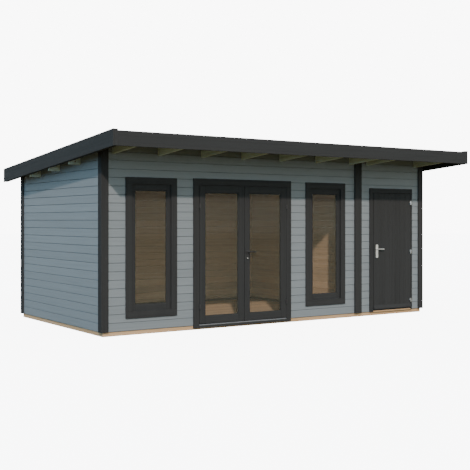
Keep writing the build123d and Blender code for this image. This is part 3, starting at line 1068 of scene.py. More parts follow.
class Timber:
    """Joins bevelled boards into one piece, each with its own stretch of grain and its tone."""

    LENGTHWAYS = 40.0  # how far the grain of one board may lie from another's
    SIDEWAYS = 9.0
    TURN = 0.35  # shifts the grain from one face of a board to the next

    def __init__(self, name: str, seed: int) -> None:
        """Starts an empty piece.

        Args:
            name: The piece's name.
            seed: Makes its boards' tones steady.
        """
        self.name = name
        self.chance = random.Random(seed)
        self.mesh = bpy.data.meshes.new(name)
        self.bm = bmesh.new()
        self.bm.loops.layers.uv.new(GRAIN_MAP)
        self.bm.verts.layers.float.new(TONE_LAYER)

    def board(
        self,
        x: Span,
        y: Span,
        z: Span,
        grain: Grain,
        edge: float = ARRIS,
        sloping: bool = False,
        top_rise: float | None = None,
    ) -> None:
        """Adds a board between three pairs of limits.

        Args:
            x: Its ends along X.
            y: Its ends along Y.
            z: Its ends along Z, at the front wall if it is sloping.
            grain: The way its fibres run.
            edge: The width of its bevelled arrises.
            sloping: Whether it follows the roof, with plumb ends.
            top_rise: For an upright board, where its top lies above the rafters' underside.
        """
        board = bmesh.new()
        bmesh.ops.create_cube(board, size=1.0)
        spans = (x, y, z)
        bmesh.ops.scale(board, vec=[b - a for a, b in spans], verts=board.verts)
        bmesh.ops.translate(board, vec=[(a + b) / 2 for a, b in spans], verts=board.verts)
        if top_rise is not None:
            for corner in (v for v in board.verts if v.co.z > sum(z) / 2):
                corner.co.z = SIZES.roof_line(corner.co.y, top_rise)
        bevel(board, board.edges[:], edge)
        self._lay_grain(board, grain)
        if sloping:
            shear = Matrix.Identity(4)
            shear[2][1] = -SIZES.slope
            shear[2][3] = SIZES.slope * SIZES.y_front
            bmesh.ops.transform(board, matrix=shear, verts=board.verts)
        board.to_mesh(self.mesh)
        board.free()
        self.bm.from_mesh(self.mesh)

    def _lay_grain(self, board: bmesh.types.BMesh, grain: Grain) -> None:
        """Writes a board's UV map, in metres along and across its fibres, and its tone.

        Args:
            board: The board.
            grain: The way its fibres run.
        """
        layer = board.loops.layers.uv.new(GRAIN_MAP)
        tone_layer = board.verts.layers.float.new(TONE_LAYER)
        tone = self.chance.random()
        start = self.chance.uniform(0.0, self.LENGTHWAYS)
        side = self.chance.uniform(0.0, self.SIDEWAYS)
        for corner in board.verts:
            corner[tone_layer] = tone
        for face in board.faces:
            normal = [abs(c) for c in face.normal]
            flat = normal.index(max(normal))
            others = [axis for axis in range(3) if axis != flat]
            along = grain.value if grain.value != flat else others[0]
            across = others[1] if along == others[0] else others[0]
            for loop in face.loops:
                place = loop.vert.co
                v = place[across] + side + place[flat] * self.TURN
                loop[layer].uv = (place[along] + start, v)

    def place(self, body: str, slot: str, material: bpy.types.Material, *nodes: str) -> None:
        """Finishes the piece.

        Args:
            body: The CAD body that it rides on.
            slot: The record's material slot.
            material: Its material.
            *nodes: The CAD nodes that it stands for.
        """
        self.bm.to_mesh(self.mesh)
        self.bm.free()
        self.mesh.materials.append(material)
        seat(self.mesh, self.name, body, slot, *nodes)


class Fasteners:
    """Heads of screws or nails, joined into one piece."""

    SIDES = 10
    SUNK = 0.0006  # how deep a head sits in the wood
    TOP_SHARE = 0.72  # of the radius, at the top of a head
    RIM_SHARE = 0.36  # of the radius, round the recess for a driver

    def __init__(self, name: str, radius: float = 0.0038, height: float = 0.0007) -> None:
        """Starts an empty piece.

        Args:
            name: The piece's name.
            radius: The radius of a head.
            height: How far a head stands out.
        """
        self.name = name
        self.radius = radius
        self.height = height
        self.bm = bmesh.new()

    def add(self, place: Vector, facing: Vector, recessed: bool = True) -> None:
        """Adds one head.

        Args:
            place: Its centre on the surface.
            facing: The direction that it faces.
            recessed: Whether it has a recess for a driver.
        """
        head = bmesh.new()
        bmesh.ops.create_cone(
            head,
            cap_ends=True,
            segments=self.SIDES,
            radius1=self.radius,
            radius2=self.radius * self.TOP_SHARE,
            depth=self.height + self.SUNK,
        )
        if recessed:
            top = max(head.faces, key=lambda face: face.calc_center_median().z)
            rim = self.radius * self.RIM_SHARE
            bmesh.ops.inset_individual(head, faces=[top], thickness=rim, depth=-self.height)
        turned = facing.to_track_quat("Z", "Y").to_matrix().to_4x4()
        move = Matrix.Translation(place + facing * (self.height / 2 - self.SUNK / 2))
        bmesh.ops.transform(head, matrix=move @ turned, verts=head.verts)
        mesh = bpy.data.meshes.new("head")
        head.to_mesh(mesh)
        head.free()
        self.bm.from_mesh(mesh)
        bpy.data.meshes.remove(mesh)

    def column(self, x: float, y: float, z: Span, count: int, facing: Vector) -> None:
        """Adds a column of heads.

        Args:
            x: Its place along X.
            y: Its place along Y.
            z: The heights of the first and the last head.
            count: How many heads it has.
            facing: The direction that they face.
        """
        for i in range(count):
            height = z[0] + (z[1] - z[0]) * i / (count - 1)
            self.add(Vector((x, y, height)), facing)

    def place(self, body: str, slot: str, material: bpy.types.Material) -> None:
        """Finishes the piece."""
        seat(make_mesh(self.name, self.bm, material), self.name, body, slot)


# Sub-assemblies


@dataclass
class Foundation:
    """The light bearers under the walls and the joists between them."""

    finishes: Finishes
    x: Span = (-2.930, 2.930)
    y: Span = (-1.164, 1.766)
    bearer: float = 0.070
    joist: float = 0.045
    first_joist: float = -2.905
    pitch: float = 0.5765
    joists: int = 9

    def build(self) -> None:
        """Builds the bearers and the joists."""
        z = (0.0, SIZES.z_wall)
        inner = (self.y[0] + self.bearer, self.y[1] - self.bearer)
        bearers = Timber("foundation_bearer_timbers", 3)
        for y in ((self.y[0], inner[0]), (inner[1], self.y[1])):
            bearers.board(self.x, y, z, Grain.X)
        bearers.place(HOUSE, "raw_wood", self.finishes.bearer, "foundation_bearers")
        joists = Timber("foundation_joist_timbers", 4)
        spans = [(self.x[0], self.x[0] + self.bearer), (self.x[1] - self.bearer, self.x[1])]
        starts = [self.first_joist + self.pitch * i for i in range(1, self.joists + 1)]
        for x in spans + [(start, start + self.joist) for start in starts]:
            joists.board(x, inner, z, Grain.Y)
        joists.place(HOUSE, "raw_wood", self.finishes.bearer, "foundation_joists")


@dataclass
class BoardFloors:
    """Tongued floor boards of the room and of the store, with dark skirting at the walls."""

    finishes: Finishes
    board: float = 0.096
    edge: float = 0.0012
    joints: tuple[float, ...] = (0.31, 0.67, 0.48)  # where the boards of each row meet
    one_length: float = 2.0  # up to here a board runs from wall to wall
    skirting_height: float = 0.040
    skirting: float = 0.012
    y: Span = (-1.135, 1.737)
    room_x: Span = (-2.901, 1.491)
    store_x: Span = (1.535, 2.901)

    def build(self) -> None:
        """Builds both floors and the skirting."""
        self._floor("room", self.room_x, SIZES.doors, 11)
        self._floor("store", self.store_x, SIZES.store_door, 12)
        self._skirting()

    def _floor(self, name: str, x: Span, doorway: Rect, seed: int) -> None:
        """Lays one floor, notched round the doorway's lining.

        Args:
            name: The room's name.
            x: The floor's ends.
            doorway: The doorway's limits.
            seed: Makes the boards' tones steady.
        """
        floor = Timber(f"{name}_floor_boards", seed)
        z = (SIZES.z_wall, SIZES.z_floor)
        notch = (doorway[0] - SIZES.lining, doorway[1] + SIZES.lining)
        first, *others = rows(self.y, self.board)
        floor.board((x[0], notch[0]), first, z, Grain.X, self.edge)
        floor.board(notch, (SIZES.lining_back, first[1]), z, Grain.X, self.edge)
        floor.board((notch[1], x[1]), first, z, Grain.X, self.edge)
        for i, row in enumerate(others, start=1):
            joint = x[0] + (x[1] - x[0]) * self.joints[i % len(self.joints)]
            pieces = lengths(x, joint) if x[1] - x[0] > self.one_length else [x]
            for piece in pieces:
                floor.board(piece, row, z, Grain.X, self.edge)
        floor.place(HOUSE, "floor_wood", self.finishes.floor, f"{name}_floor")

    def _skirting(self) -> None:
        """Runs the skirting along the side, partition and back walls."""
        skirting = Timber("skirting_boards", 13)
        z = (SIZES.z_floor, SIZES.z_floor + self.skirting_height)
        sides = (self.y[0], self.y[1] - self.skirting)
        back = (self.y[1] - self.skirting, self.y[1])
        for x in (self.room_x, self.store_x):
            skirting.board(x, back, z, Grain.X)
            skirting.board((x[0], x[0] + self.skirting), sides, z, Grain.Y)
            skirting.board((x[1] - self.skirting, x[1]), sides, z, Grain.Y)
        skirting.place(HOUSE, "skirting_paint", self.finishes.skirting, "skirting")


@dataclass
class LogEndCovers:
    """Dark boards over the crossing log ends at the corners and at the partition."""

    finishes: Finishes
    leg: float = 0.105
    middle: Span = (1.445, 1.581)
    middle_edge: float = 0.004
    rise: float = 0.140  # tops lie at the rafters' upper side
    z: Span = (SIZES.z_wall, 2.4)  # before the tops are cut to the roof

    def build(self) -> None:
        """Builds the corner and the partition covers."""
        corners = Timber("corner_cover_boards", 21)
        for x_edge, inward_x in ((SIZES.x_left, 1), (SIZES.x_right, -1)):
            for y_edge, inward_y in ((SIZES.y_front, 1), (SIZES.y_back, -1)):
                x = x_edge - inward_x * SIZES.cover
                y = y_edge - inward_y * SIZES.cover
                face_x = ordered(x, x + inward_x * self.leg)
                side_y = ordered(y_edge, y + inward_y * self.leg)
                for leg in ((face_x, ordered(y, y_edge)), (ordered(x, x_edge), side_y)):
                    corners.board(*leg, self.z, Grain.Z, top_rise=self.rise)
        corners.place(HOUSE, "trim_paint", self.finishes.anthracite, "corner_covers")
        middle = Timber("partition_cover_boards", 22)
        front = (SIZES.y_front - SIZES.middle_cover, SIZES.y_front)
        back = (SIZES.y_back, SIZES.y_back + SIZES.middle_cover)
        for y in (front, back):
            middle.board(self.middle, y, self.z, Grain.Z, self.middle_edge, top_rise=self.rise)
        middle.place(HOUSE, "trim_paint", self.finishes.anthracite, "partition_covers")


@dataclass
class PentRoof:
    """Rafters, lookouts, boards, fascias and felt of the roof that falls to the back."""

    finishes: Finishes
    # Rises above the rafters' underside
    rafter: Span = (0.0, 0.140)
    lookout: Span = (-0.058, 0.140)
    deck: Span = (0.140, 0.158)
    felt: Span = (0.158, 0.1605)
    lap: Span = (0.1595, 0.1628)
    side_board: Span = (-0.030, 0.184)
    side_batten: Span = (-0.026, 0.182)
    back_fascia: Span = (0.050, 0.158)
    # Heights above the ground
    front_fascia: Span = (2.4591, 2.6521)
    # Other sizes
    board: float = 0.096
    board_edge: float = 0.0025
    board_joints: tuple[int, ...] = (2, 5, 3)  # rafters over which the boards of a row meet
    batten_set: float = 0.001
    felt_edge: float = 0.0008
    lap_edge: float = 0.001
    lap_width: float = 0.09
    lap_set: float = 0.001
    laps: int = 4
    nail_radius: float = 0.005
    nail_height: float = 0.0012
    nail_margin: float = 0.06
    nail_pitch: float = 0.1025
    nails: int = 61
    nail_set: float = 0.022  # from the edge of a lap

    def _at(self, rise: Span) -> Span:
        """Gives the heights at the front wall of a pair of rises."""
        return (SIZES.seat + rise[0], SIZES.seat + rise[1])

    def build(self) -> None:
        """Builds all of the roof."""
        self._timbers()
        self._boards()
        self._fascias()
        self._felt()

    def _timbers(self) -> None:
        """Builds the rafters and the lookouts."""
        rafters = Timber("rafter_timbers", 31)
        for x in SIZES.rafters:
            span = (x, x + SIZES.rafter)
            rafters.board(span, SIZES.deck_y, self._at(self.rafter), Grain.Y, sloping=True)
        rafters.place(HOUSE, "raw_wood", self.finishes.rafter, "rafters")
        lookouts = Timber("lookout_timbers", 32)
        left = (SIZES.deck_x[0], SIZES.rafters[0])
        right = (SIZES.rafters[-1] + SIZES.rafter, SIZES.deck_x[1])
        for x in (left, right):
            for y in SIZES.lookouts:
                span = (y, y + SIZES.rafter)
                lookouts.board(x, span, self._at(self.lookout), Grain.X, sloping=True)
        lookouts.place(HOUSE, "raw_wood", self.finishes.rafter, "lookouts")

    def _boards(self) -> None:
        """Builds the tongued roof boards, whose ends meet over rafters."""
        boards = Timber("roof_deck_boards", 33)
        z = self._at(self.deck)
        for i, row in enumerate(rows(SIZES.deck_y, self.board)):
            rafter = SIZES.rafters[self.board_joints[i % len(self.board_joints)]]
            for x in lengths(SIZES.deck_x, rafter + SIZES.rafter / 2):
                boards.board(x, row, z, Grain.X, self.board_edge, sloping=True)
        boards.place(HOUSE, "raw_wood", self.finishes.eaves, "roof_boards")

    def _fascias(self) -> None:
        """Builds the dark boards round the roof's edge."""
        paint = self.finishes.anthracite
        front = Timber("front_fascia_board", 34)
        y = (-SIZES.y_eave + SIZES.head_room, SIZES.deck_y[0])
        front.board(SIZES.deck_x, y, self.front_fascia, Grain.X)
        front.place(HOUSE, "trim_paint", paint, "front_fascia")
        sides = Timber("side_fascia_boards", 35)
        y = (-SIZES.y_eave, SIZES.y_eave)
        batten_y = (y[0] + self.batten_set, y[1] - self.batten_set)
        for side in (-1, 1):
            depths = (SIZES.head_room, SIZES.fascia, SIZES.side_fascia)
            face, joint, inner = (side * (SIZES.x_eave - depth) for depth in depths)
            z = self._at(self.side_board)
            sides.board(ordered(face, joint), y, z, Grain.Y, sloping=True)
            z = self._at(self.side_batten)
            sides.board(ordered(joint, inner), batten_y, z, Grain.Y, sloping=True)
        sides.place(HOUSE, "trim_paint", paint, "side_fascias")
        back = Timber("back_fascia_board", 36)
        y = (SIZES.deck_y[1], SIZES.y_eave - SIZES.head_room)
        back.board(SIZES.deck_x, y, self._at(self.back_fascia), Grain.X, sloping=True)
        back.place(HOUSE, "trim_paint", paint, "back_fascia")

    def _felt(self) -> None:
        """Lays the felt in strips, with raised laps that are nailed."""
        felt = Timber("felt_strips", 37)
        y = (SIZES.deck_y[0], SIZES.y_eave)
        felt.board(SIZES.deck_x, y, self._at(self.felt), Grain.X, self.felt_edge, sloping=True)
        laps = [y[1] - SIZES.felt_strip * i for i in range(1, self.laps + 1)]
        x = (SIZES.deck_x[0] + self.lap_set, SIZES.deck_x[1] - self.lap_set)
        z = self._at(self.lap)
        for lap in laps:
            span = (lap - self.lap_width, lap)
            felt.board(x, span, z, Grain.X, self.lap_edge, sloping=True)
        felt.place(HOUSE, "felt", self.finishes.felt, "roofing_felt")
        nails = Fasteners("felt_nails", self.nail_radius, self.nail_height)
        for lap in laps:
            y_nail = lap - self.nail_set
            z_nail = SIZES.roof_line(y_nail, self.lap[1])
            for i in range(self.nails):
                x_nail = SIZES.deck_x[0] + self.nail_margin + self.nail_pitch * i
                nails.add(Vector((x_nail, y_nail, z_nail)), UP, recessed=False)
        nails.place(HOUSE, "steel", self.finishes.galvanised)


@dataclass
class WallScrews:
    """The painted screws that hold casings, covers and fascias."""

    finishes: Finishes
    count: int = 6  # in one upright board
    door_foot: float = 0.08
    head_shares: tuple[float, ...] = (0.25, 0.5, 0.75)  # along the casing over the doors
    # Store door
    latch_inset: float = 0.036
    hinge_inset: float = 0.026
    hinge_foot: float = 0.2
    hinge_count: int = 4
    # Covers
    cover_inset: float = 0.045
    front_foot: float = 0.16
    side_foot: float = 0.20
    cover_head: float = 0.08  # below the rafters' underside
    # Fascias
    front_heights: Span = (2.505, 2.600)
    back_rises: Span = (0.075, 0.133)
    side_rises: Span = (0.03, 0.13)
    side_end: float = 1.90

    def build(self) -> None:
        """Drives all the screws of the house's trim."""
        screws = Fasteners("trim_screws")
        self._windows(screws)
        self._doors(screws)
        self._covers(screws)
        self._fascias(screws)
        screws.place(HOUSE, "trim_paint", self.finishes.anthracite_metal)

    def _windows(self, screws: Fasteners) -> None:
        """Drives the screws of the windows' casings.

        Args:
            screws: The lot that they join.
        """
        face, half = SIZES.casing_face, SIZES.casing / 2
        for x0, x1, z0, z1 in SIZES.windows:
            for x in (x0 - half, x1 + half):
                screws.column(x, face, (z0 - half, z1 + half), self.count, FORWARD)
            for z in (z0 - half, z1 + half):
                screws.add(Vector(((x0 + x1) / 2, face, z)), FORWARD)

    def _doors(self, screws: Fasteners) -> None:
        """Drives the screws of the doors' casings.

        Args:
            screws: The lot that they join.
        """
        face, half = SIZES.casing_face, SIZES.casing / 2
        x0, x1, z0, z1 = SIZES.doors
        for x in (x0 - half, x1 + half):
            screws.column(x, face, (z0 + self.door_foot, z1 + half), self.count, FORWARD)
        for share in self.head_shares:
            screws.add(Vector((x0 + (x1 - x0) * share, face, z1 + half)), FORWARD)
        x0, x1, z0, z1 = SIZES.store_door
        head = z1 + self.latch_inset
        latch_z = (z0 + self.door_foot, head)
        screws.column(x0 - self.latch_inset, face, latch_z, self.count, FORWARD)
        hinge_z = (z0 + self.hinge_foot, head)
        screws.column(x1 + self.hinge_inset, face, hinge_z, self.hinge_count, FORWARD)
        screws.add(Vector(((x0 + x1) / 2, face, head)), FORWARD)

    def _covers(self, screws: Fasteners) -> None:
        """Drives the screws of the covers over the log ends.

        Args:
            screws: The lot that they join.
        """
        inset, out = self.cover_inset, SIZES.cover
        for x, side in ((SIZES.x_left, -1), (SIZES.x_right, 1)):
            for y, back in ((SIZES.y_front, -1), (SIZES.y_back, 1)):
                top = SIZES.roof_line(y) - self.cover_head
                place = (x - side * inset, y + back * out, (self.front_foot, top))
                screws.column(*place, self.count, Vector((0, back, 0)))
                place = (x + side * out, y - back * inset, (self.side_foot, top))
                screws.column(*place, self.count, Vector((side, 0, 0)))
        front, back = SIZES.y_front - SIZES.middle_cover, SIZES.y_back + SIZES.middle_cover
        for y, way in ((front, -1), (back, 1)):
            span = (self.front_foot, SIZES.roof_line(y) - self.cover_head)
            for x in (SIZES.partition - inset, SIZES.partition + inset):
                screws.column(x, y, span, self.count, Vector((0, way, 0)))

    def _fascias(self, screws: Fasteners) -> None:
        """Drives two screws into the end of each rafter and lookout.

        Args:
            screws: The lot that they join.
        """
        y_face, x_face = SIZES.y_eave - SIZES.head_room, SIZES.x_eave - SIZES.head_room
        half = SIZES.rafter / 2
        for x in SIZES.rafters:
            for z in self.front_heights:
                screws.add(Vector((x + half, -y_face, z)), FORWARD)
            for rise in self.back_rises:
                z = SIZES.roof_line(SIZES.y_eave, rise)
                screws.add(Vector((x + half, y_face, z)), BACKWARD)
        for y in (-self.side_end, *SIZES.lookouts, self.side_end):
            for rise in self.side_rises:
                z = SIZES.roof_line(y + half, rise)
                for side in (-1, 1):
                    screws.add(Vector((side * x_face, y + half, z)), Vector((side, 0, 0)))


@dataclass
class GlassUnit:
    """A pane's rubber gaskets, outside and inside."""

    finishes: Finishes
    name: str
    body: str
    light: Rect
    pane_y: Span
    width: float = 0.005
    proud: float = 0.003
    edge: float = 0.001

    def build(self) -> None:
        """Runs the gaskets round both faces of the pane."""
        gasket = Timber(self.name, 51)
        x0, x1, z0, z1 = self.light
        across = (x0 + self.width, x1 - self.width)
        front, back = self.pane_y
        for y in ((front - self.proud, front), (back, back + self.proud)):
            for x in ((x0, x0 + self.width), (x1 - self.width, x1)):
                gasket.board(x, y, (z0, z1), Grain.Z, self.edge)
            for z in ((z0, z0 + self.width), (z1 - self.width, z1)):
                gasket.board(across, y, z, Grain.X, self.edge)
        gasket.place(self.body, "felt", self.finishes.rubber)


@dataclass
class LeverHandle:
    """A lever on each side of a door, bent from its neck and rounded at its end."""

    name: str
    body: str
    node: str
    slot: str
    x: float
    z: float
    faces: Span  # of the rose or plate, outside and inside
    neck: float = 0.042
    reach: float = 0.130
    radius: float = 0.0085
    sides: int = 14
    root: float = 0.002  # how deep the neck starts inside the rose
    bend: float = 0.020
    turns: int = 6  # steps round the bend
    spindle: float = 0.005
    spindle_sides: int = 12
    swell: tuple[Span, ...] = ((-0.001, 1.06), (-0.002, 1.04))  # drop and growth of each half
    # The rounded end: how far each step goes, in radii, and what it leaves of the section
    tip: tuple[Span, ...] = ((0.5, 0.86), (0.35, 0.74), (0.15, 0.58))

    def build(self, material: bpy.types.Material) -> None:
        """Builds the spindle and both levers.

        Args:
            material: Their material.
        """
        bm = bmesh.new()
        for face, outward in zip(self.faces, (-1.0, 1.0)):
            self._lever(bm, face, outward)
        rims = [edge for edge in bm.edges if edge.is_boundary]
        bmesh.ops.holes_fill(bm, edges=rims, sides=0)
        middle = Matrix.Translation((self.x, sum(self.faces) / 2, self.z))
        bmesh.ops.create_cone(
            bm,
            cap_ends=True,
            segments=self.spindle_sides,
            radius1=self.spindle,
            radius2=self.spindle,
            depth=self.faces[1] - self.faces[0],
            matrix=middle @ LYING,
        )
        bmesh.ops.recalc_face_normals(bm, faces=bm.faces)
        mesh = make_mesh(self.name, bm, material)
        for polygon in mesh.polygons:
            polygon.use_smooth = True
        seat(mesh, self.name, self.body, self.slot, self.node)

    def _lever(self, bm: bmesh.types.BMesh, face: float, outward: float) -> None:
        """Carries a round section out of the door, round the bend and along the lever.

        Args:
            bm: The mesh at work.
            face: Where the rose's face is.
            outward: The way out of the door along Y.
        """
        bend_y = face + outward * (self.neck - self.radius) - outward * self.bend
        root = face - outward * self.root
        start = Matrix.Translation((self.x, root, self.z)) @ LYING
        ring = bmesh.ops.create_circle(
            bm, cap_ends=True, segments=self.sides, radius=self.radius, matrix=start
        )["verts"]
        front = next(f for f in bm.faces if all(v in f.verts for v in ring))
        front = self._carry(bm, front, Matrix.Translation((0, bend_y - root, 0)))
        pivot = Matrix.Translation((self.x + self.bend, bend_y, self.z))
        step = Matrix.Rotation(outward * -math.pi / 2 / self.turns, 4, "Z")
        for _ in range(self.turns):
            front = self._carry(bm, front, pivot @ step @ pivot.inverted())
        half = (self.reach - self.bend - self.radius) / 2
        for drop, growth in self.swell:
            front = self._carry(bm, front, Matrix.Translation((half, 0, drop)), growth)
        for share, growth in self.tip:
            move = Matrix.Translation((self.radius * share, 0, 0))
            front = self._carry(bm, front, move, growth)

    def _carry(
        self, bm: bmesh.types.BMesh, front: bmesh.types.BMFace, move: Matrix, scale: float = 1.0
    ) -> bmesh.types.BMFace:
        """Extrudes the front face.

        Args:
            bm: The mesh at work.
            front: The face at the front.
            move: Where it goes.
            scale: How much it grows.

        Returns:
            The new front face.
        """
        made = bmesh.ops.extrude_discrete_faces(bm, faces=[front])["faces"][0]
        bmesh.ops.transform(bm, matrix=move, verts=made.verts)
        centre = made.calc_center_median()
        for corner in made.verts:
            corner.co = centre + (corner.co - centre) * scale
        return made


@dataclass
class KeyCylinder:
    """The bright profile cylinder in a lock's rose or plate, with a dark box in its keyway as
    painted shade.
    """

    finishes: Finishes
    x: float
    z: float
    faces: Span  # where it stands out, outside and inside
    proud: float
    radius: float = 0.0085
    sides: int = 24
    edge: float = 0.0006
    keyway_half: Span = (0.0009, 0.0002)  # width and depth
    keyway_z: Span = (-0.006, 0.004)
    keyway_edge: float = 0.0001

    def build(self, name: str, body: str) -> None:
        """Builds a cylinder on each face of the door, with a dark box as painted shade in its
        keyway.

        Args:
            name: The start of the pieces' names.
            body: The leaf's body.
        """
        plugs = bmesh.new()
        # dark boxes that paint the shade inside each key slot
        keyway_shades = Timber(f"{name}_keyways", 61)
        half, deep = self.keyway_half
        x = (self.x - half, self.x + half)
        z = (self.z + self.keyway_z[0], self.z + self.keyway_z[1])
        for face, outward in zip(self.faces, (-1.0, 1.0)):
            self._plug(plugs, face + outward * self.proud / 2)
            near, far = self.proud - deep, self.proud + deep
            depth = ordered(face + outward * near, face + outward * far)
            keyway_shades.board(x, depth, z, Grain.Z, self.keyway_edge)
        mesh = make_mesh(f"{name}_plugs", plugs, self.finishes.steel)
        seat(mesh, f"{name}_plugs", body, "steel")
        keyway_shades.place(body, "felt", self.finishes.rubber)

    def _plug(self, plugs: bmesh.types.BMesh, middle: float) -> None:
        """Adds one cylinder and bevels its rims.

        Args:
            plugs: The mesh at work.
            middle: The cylinder's middle along Y.
        """
        made = bmesh.ops.create_cone(
            plugs,
            cap_ends=True,
            segments=self.sides,
            radius1=self.radius,
            radius2=self.radius,
            depth=self.proud,
            matrix=Matrix.Translation((self.x, middle, self.z)) @ LYING,
        )
        edges = {edge for corner in made["verts"] for edge in corner.link_edges}
        rims = [e for e in edges if len(e.link_faces) == 2 and e.calc_face_angle() > 1.0]
        bevel(plugs, rims, self.edge)


@dataclass
class DoorGear:
    """The doors' lever handles and the cylinders of their locks."""

    finishes: Finishes
    room: Span = (-0.6365, 1.083)  # x and z of the spindle
    room_faces: Span = (-1.207, -1.147)
    store: Span = (1.912, 1.076)
    store_faces: Span = (-1.207, -1.151)
    drop: float = 0.093  # from the spindle to the key
    room_proud: float = 0.003
    store_plate: float = 0.003
    store_proud: float = 0.0008

    def build(self) -> None:
        """Builds the doors' metalwork."""
        x, z = self.room
        faces = self.room_faces
        lever = LeverHandle(
            "room_lever_bar", "room_lever", "door_lever", "dark_metal", x, z, faces
        )
        lever.build(self.finishes.dark_metal)
        cylinder = KeyCylinder(self.finishes, x, z - self.drop, faces, self.room_proud)
        cylinder.build("room_lock", "right_leaf")
        x, z = self.store
        faces = self.store_faces
        lever = LeverHandle(
            "store_lever_bar", "store_lever", "store_door_lever", "steel", x, z, faces
        )
        lever.build(self.finishes.steel)
        faces = (faces[0] - self.store_plate, faces[1] + self.store_plate)
        cylinder = KeyCylinder(self.finishes, x, z - self.drop, faces, self.store_proud)
        cylinder.build("store_lock", "store_leaf")


@dataclass(frozen=True)
class FramedLeaf:
    """A sash or a door leaf: two stiles, with a rail between them at the top and at the foot."""

    outline: Rect
    stile: float
    rail: float

    @property
    def light(self) -> Rect:
        """Limits of the glass that shows."""
        x0, x1, z0, z1 = self.outline
        return (x0 + self.stile, x1 - self.stile, z0 + self.rail, z1 - self.rail)

    @property
    def rails(self) -> tuple[Rect, Rect]:
        """Limits of the rails."""
        x0, x1, z0, z1 = self.light
        return ((x0, x1, self.outline[2], z0), (x0, x1, z1, self.outline[3]))

    @property
    def seams(self) -> tuple[Seam, ...]:
        """Joints between the rails and the stiles."""
        x0, x1, z0, z1 = self.light
        return butt_seams(Grain.X, (x0, x1), (self.outline[2], z0), (z1, self.outline[3]))


@dataclass
class JoineryPaint:
    """The paint of the frames, sashes and leaves, with their joints and gaskets."""

    finishes: Finishes
    nodes: dict[str, bpy.types.Object]
    leaf_z: Span = (0.084, 2.035)
    leaves: tuple[Span, Span] = ((-1.451, -0.693), (-0.685, 0.073))
    stile: float = 0.097
    rail: float = 0.105
    leaf_pane: Span = (-1.185, -1.169)
    sash_stile: float = 0.060
    sash_rail: float = 0.086
    sash_pane: Span = (-1.159, -1.143)
    # Store door
    store_leaf: Span = (1.847, 2.669)
    planks: int = 7
    store_casing: Triple = (0.073, 0.038, 0.075)  # at the left, at the right and on top
    drip_bar: Rect = (1.80, 2.70, 0.0, 0.5)  # all of it runs along X

    def build(self) -> None:
        """Paints the joinery and seats its gaskets."""
        self._windows()
        self._doors()
        self._store()

    def _windows(self) -> None:
        """Paints the window frames and sashes."""
        wide = SIZES.casing
        rails, seams, sash_rails, sash_seams = [], [], [], []
        for i, (x0, x1, z0, z1) in enumerate(SIZES.windows, start=1):
            for z in ((z0 - wide, z0), (z1, z1 + wide)):
                rails.append((x0 - wide, x1 + wide, *z))
            seams += butt_seams(Grain.Z, (z0, z1), (x0 - wide, x0), (x1, x1 + wide))
            sash = FramedLeaf((x0, x1, z0, z1), self.sash_stile, self.sash_rail)
            sash_rails += sash.rails
            sash_seams += sash.seams
            name = f"window_gasket_{i}"
            GlassUnit(self.finishes, name, HOUSE, sash.light, self.sash_pane).build()
        casing = FramePaint("window_casing_paint", tuple(rails), tuple(seams))
        dress(self.nodes, "window_frames", casing.make())
        sashes = FramePaint("window_sash_paint", tuple(sash_rails), tuple(sash_seams))
        dress(self.nodes, "window_sashes", sashes.make())

    def _doors(self) -> None:
        """Paints the double door's frame and leaves."""
        x0, x1, _, z1 = SIZES.doors
        wide = SIZES.casing
        head = (x0 - wide, x1 + wide, z1, z1 + wide)
        apron = (x0 - wide, x1 + wide, 0.0, SIZES.z_wall)
        seams = butt_seams(Grain.Z, (z1,), (x0 - wide, x0), (x1, x1 + wide))
        casing = FramePaint("door_casing_paint", (head, apron), seams)
        dress(self.nodes, "doors_frame", casing.make())
        for side, span in zip(("left", "right"), self.leaves):
            leaf = FramedLeaf((*span, *self.leaf_z), self.stile, self.rail)
            paint = FramePaint(f"{side}_leaf_paint", leaf.rails, leaf.seams)
            dress(self.nodes, f"{side}_door_leaf", paint.make())
            name = f"{side}_door_gasket"
            GlassUnit(self.finishes, name, f"{side}_leaf", leaf.light, self.leaf_pane).build()

    def _store(self) -> None:
        """Paints the store door's frame and boarded leaf."""
        x0, x1, _, z1 = SIZES.store_door
        left, right, top = self.store_casing
        head = (x0 - left, x1 + right, z1, z1 + top)
        seams = butt_seams(Grain.Z, (z1,), (x0 - left, x0), (x1, x1 + right))
        casing = FramePaint("store_casing_paint", (head,), seams)
        dress(self.nodes, "store_door_frame", casing.make())
        start, end = self.store_leaf
        planks = FramePaint("store_plank_paint", planks=(start, (end - start) / self.planks))
        dress(self.nodes, "store_door_leaf", planks.make())
        bar = FramePaint("drip_bar_paint", (self.drip_bar,))
        dress(self.nodes, "store_door_drip_bar", bar.make())


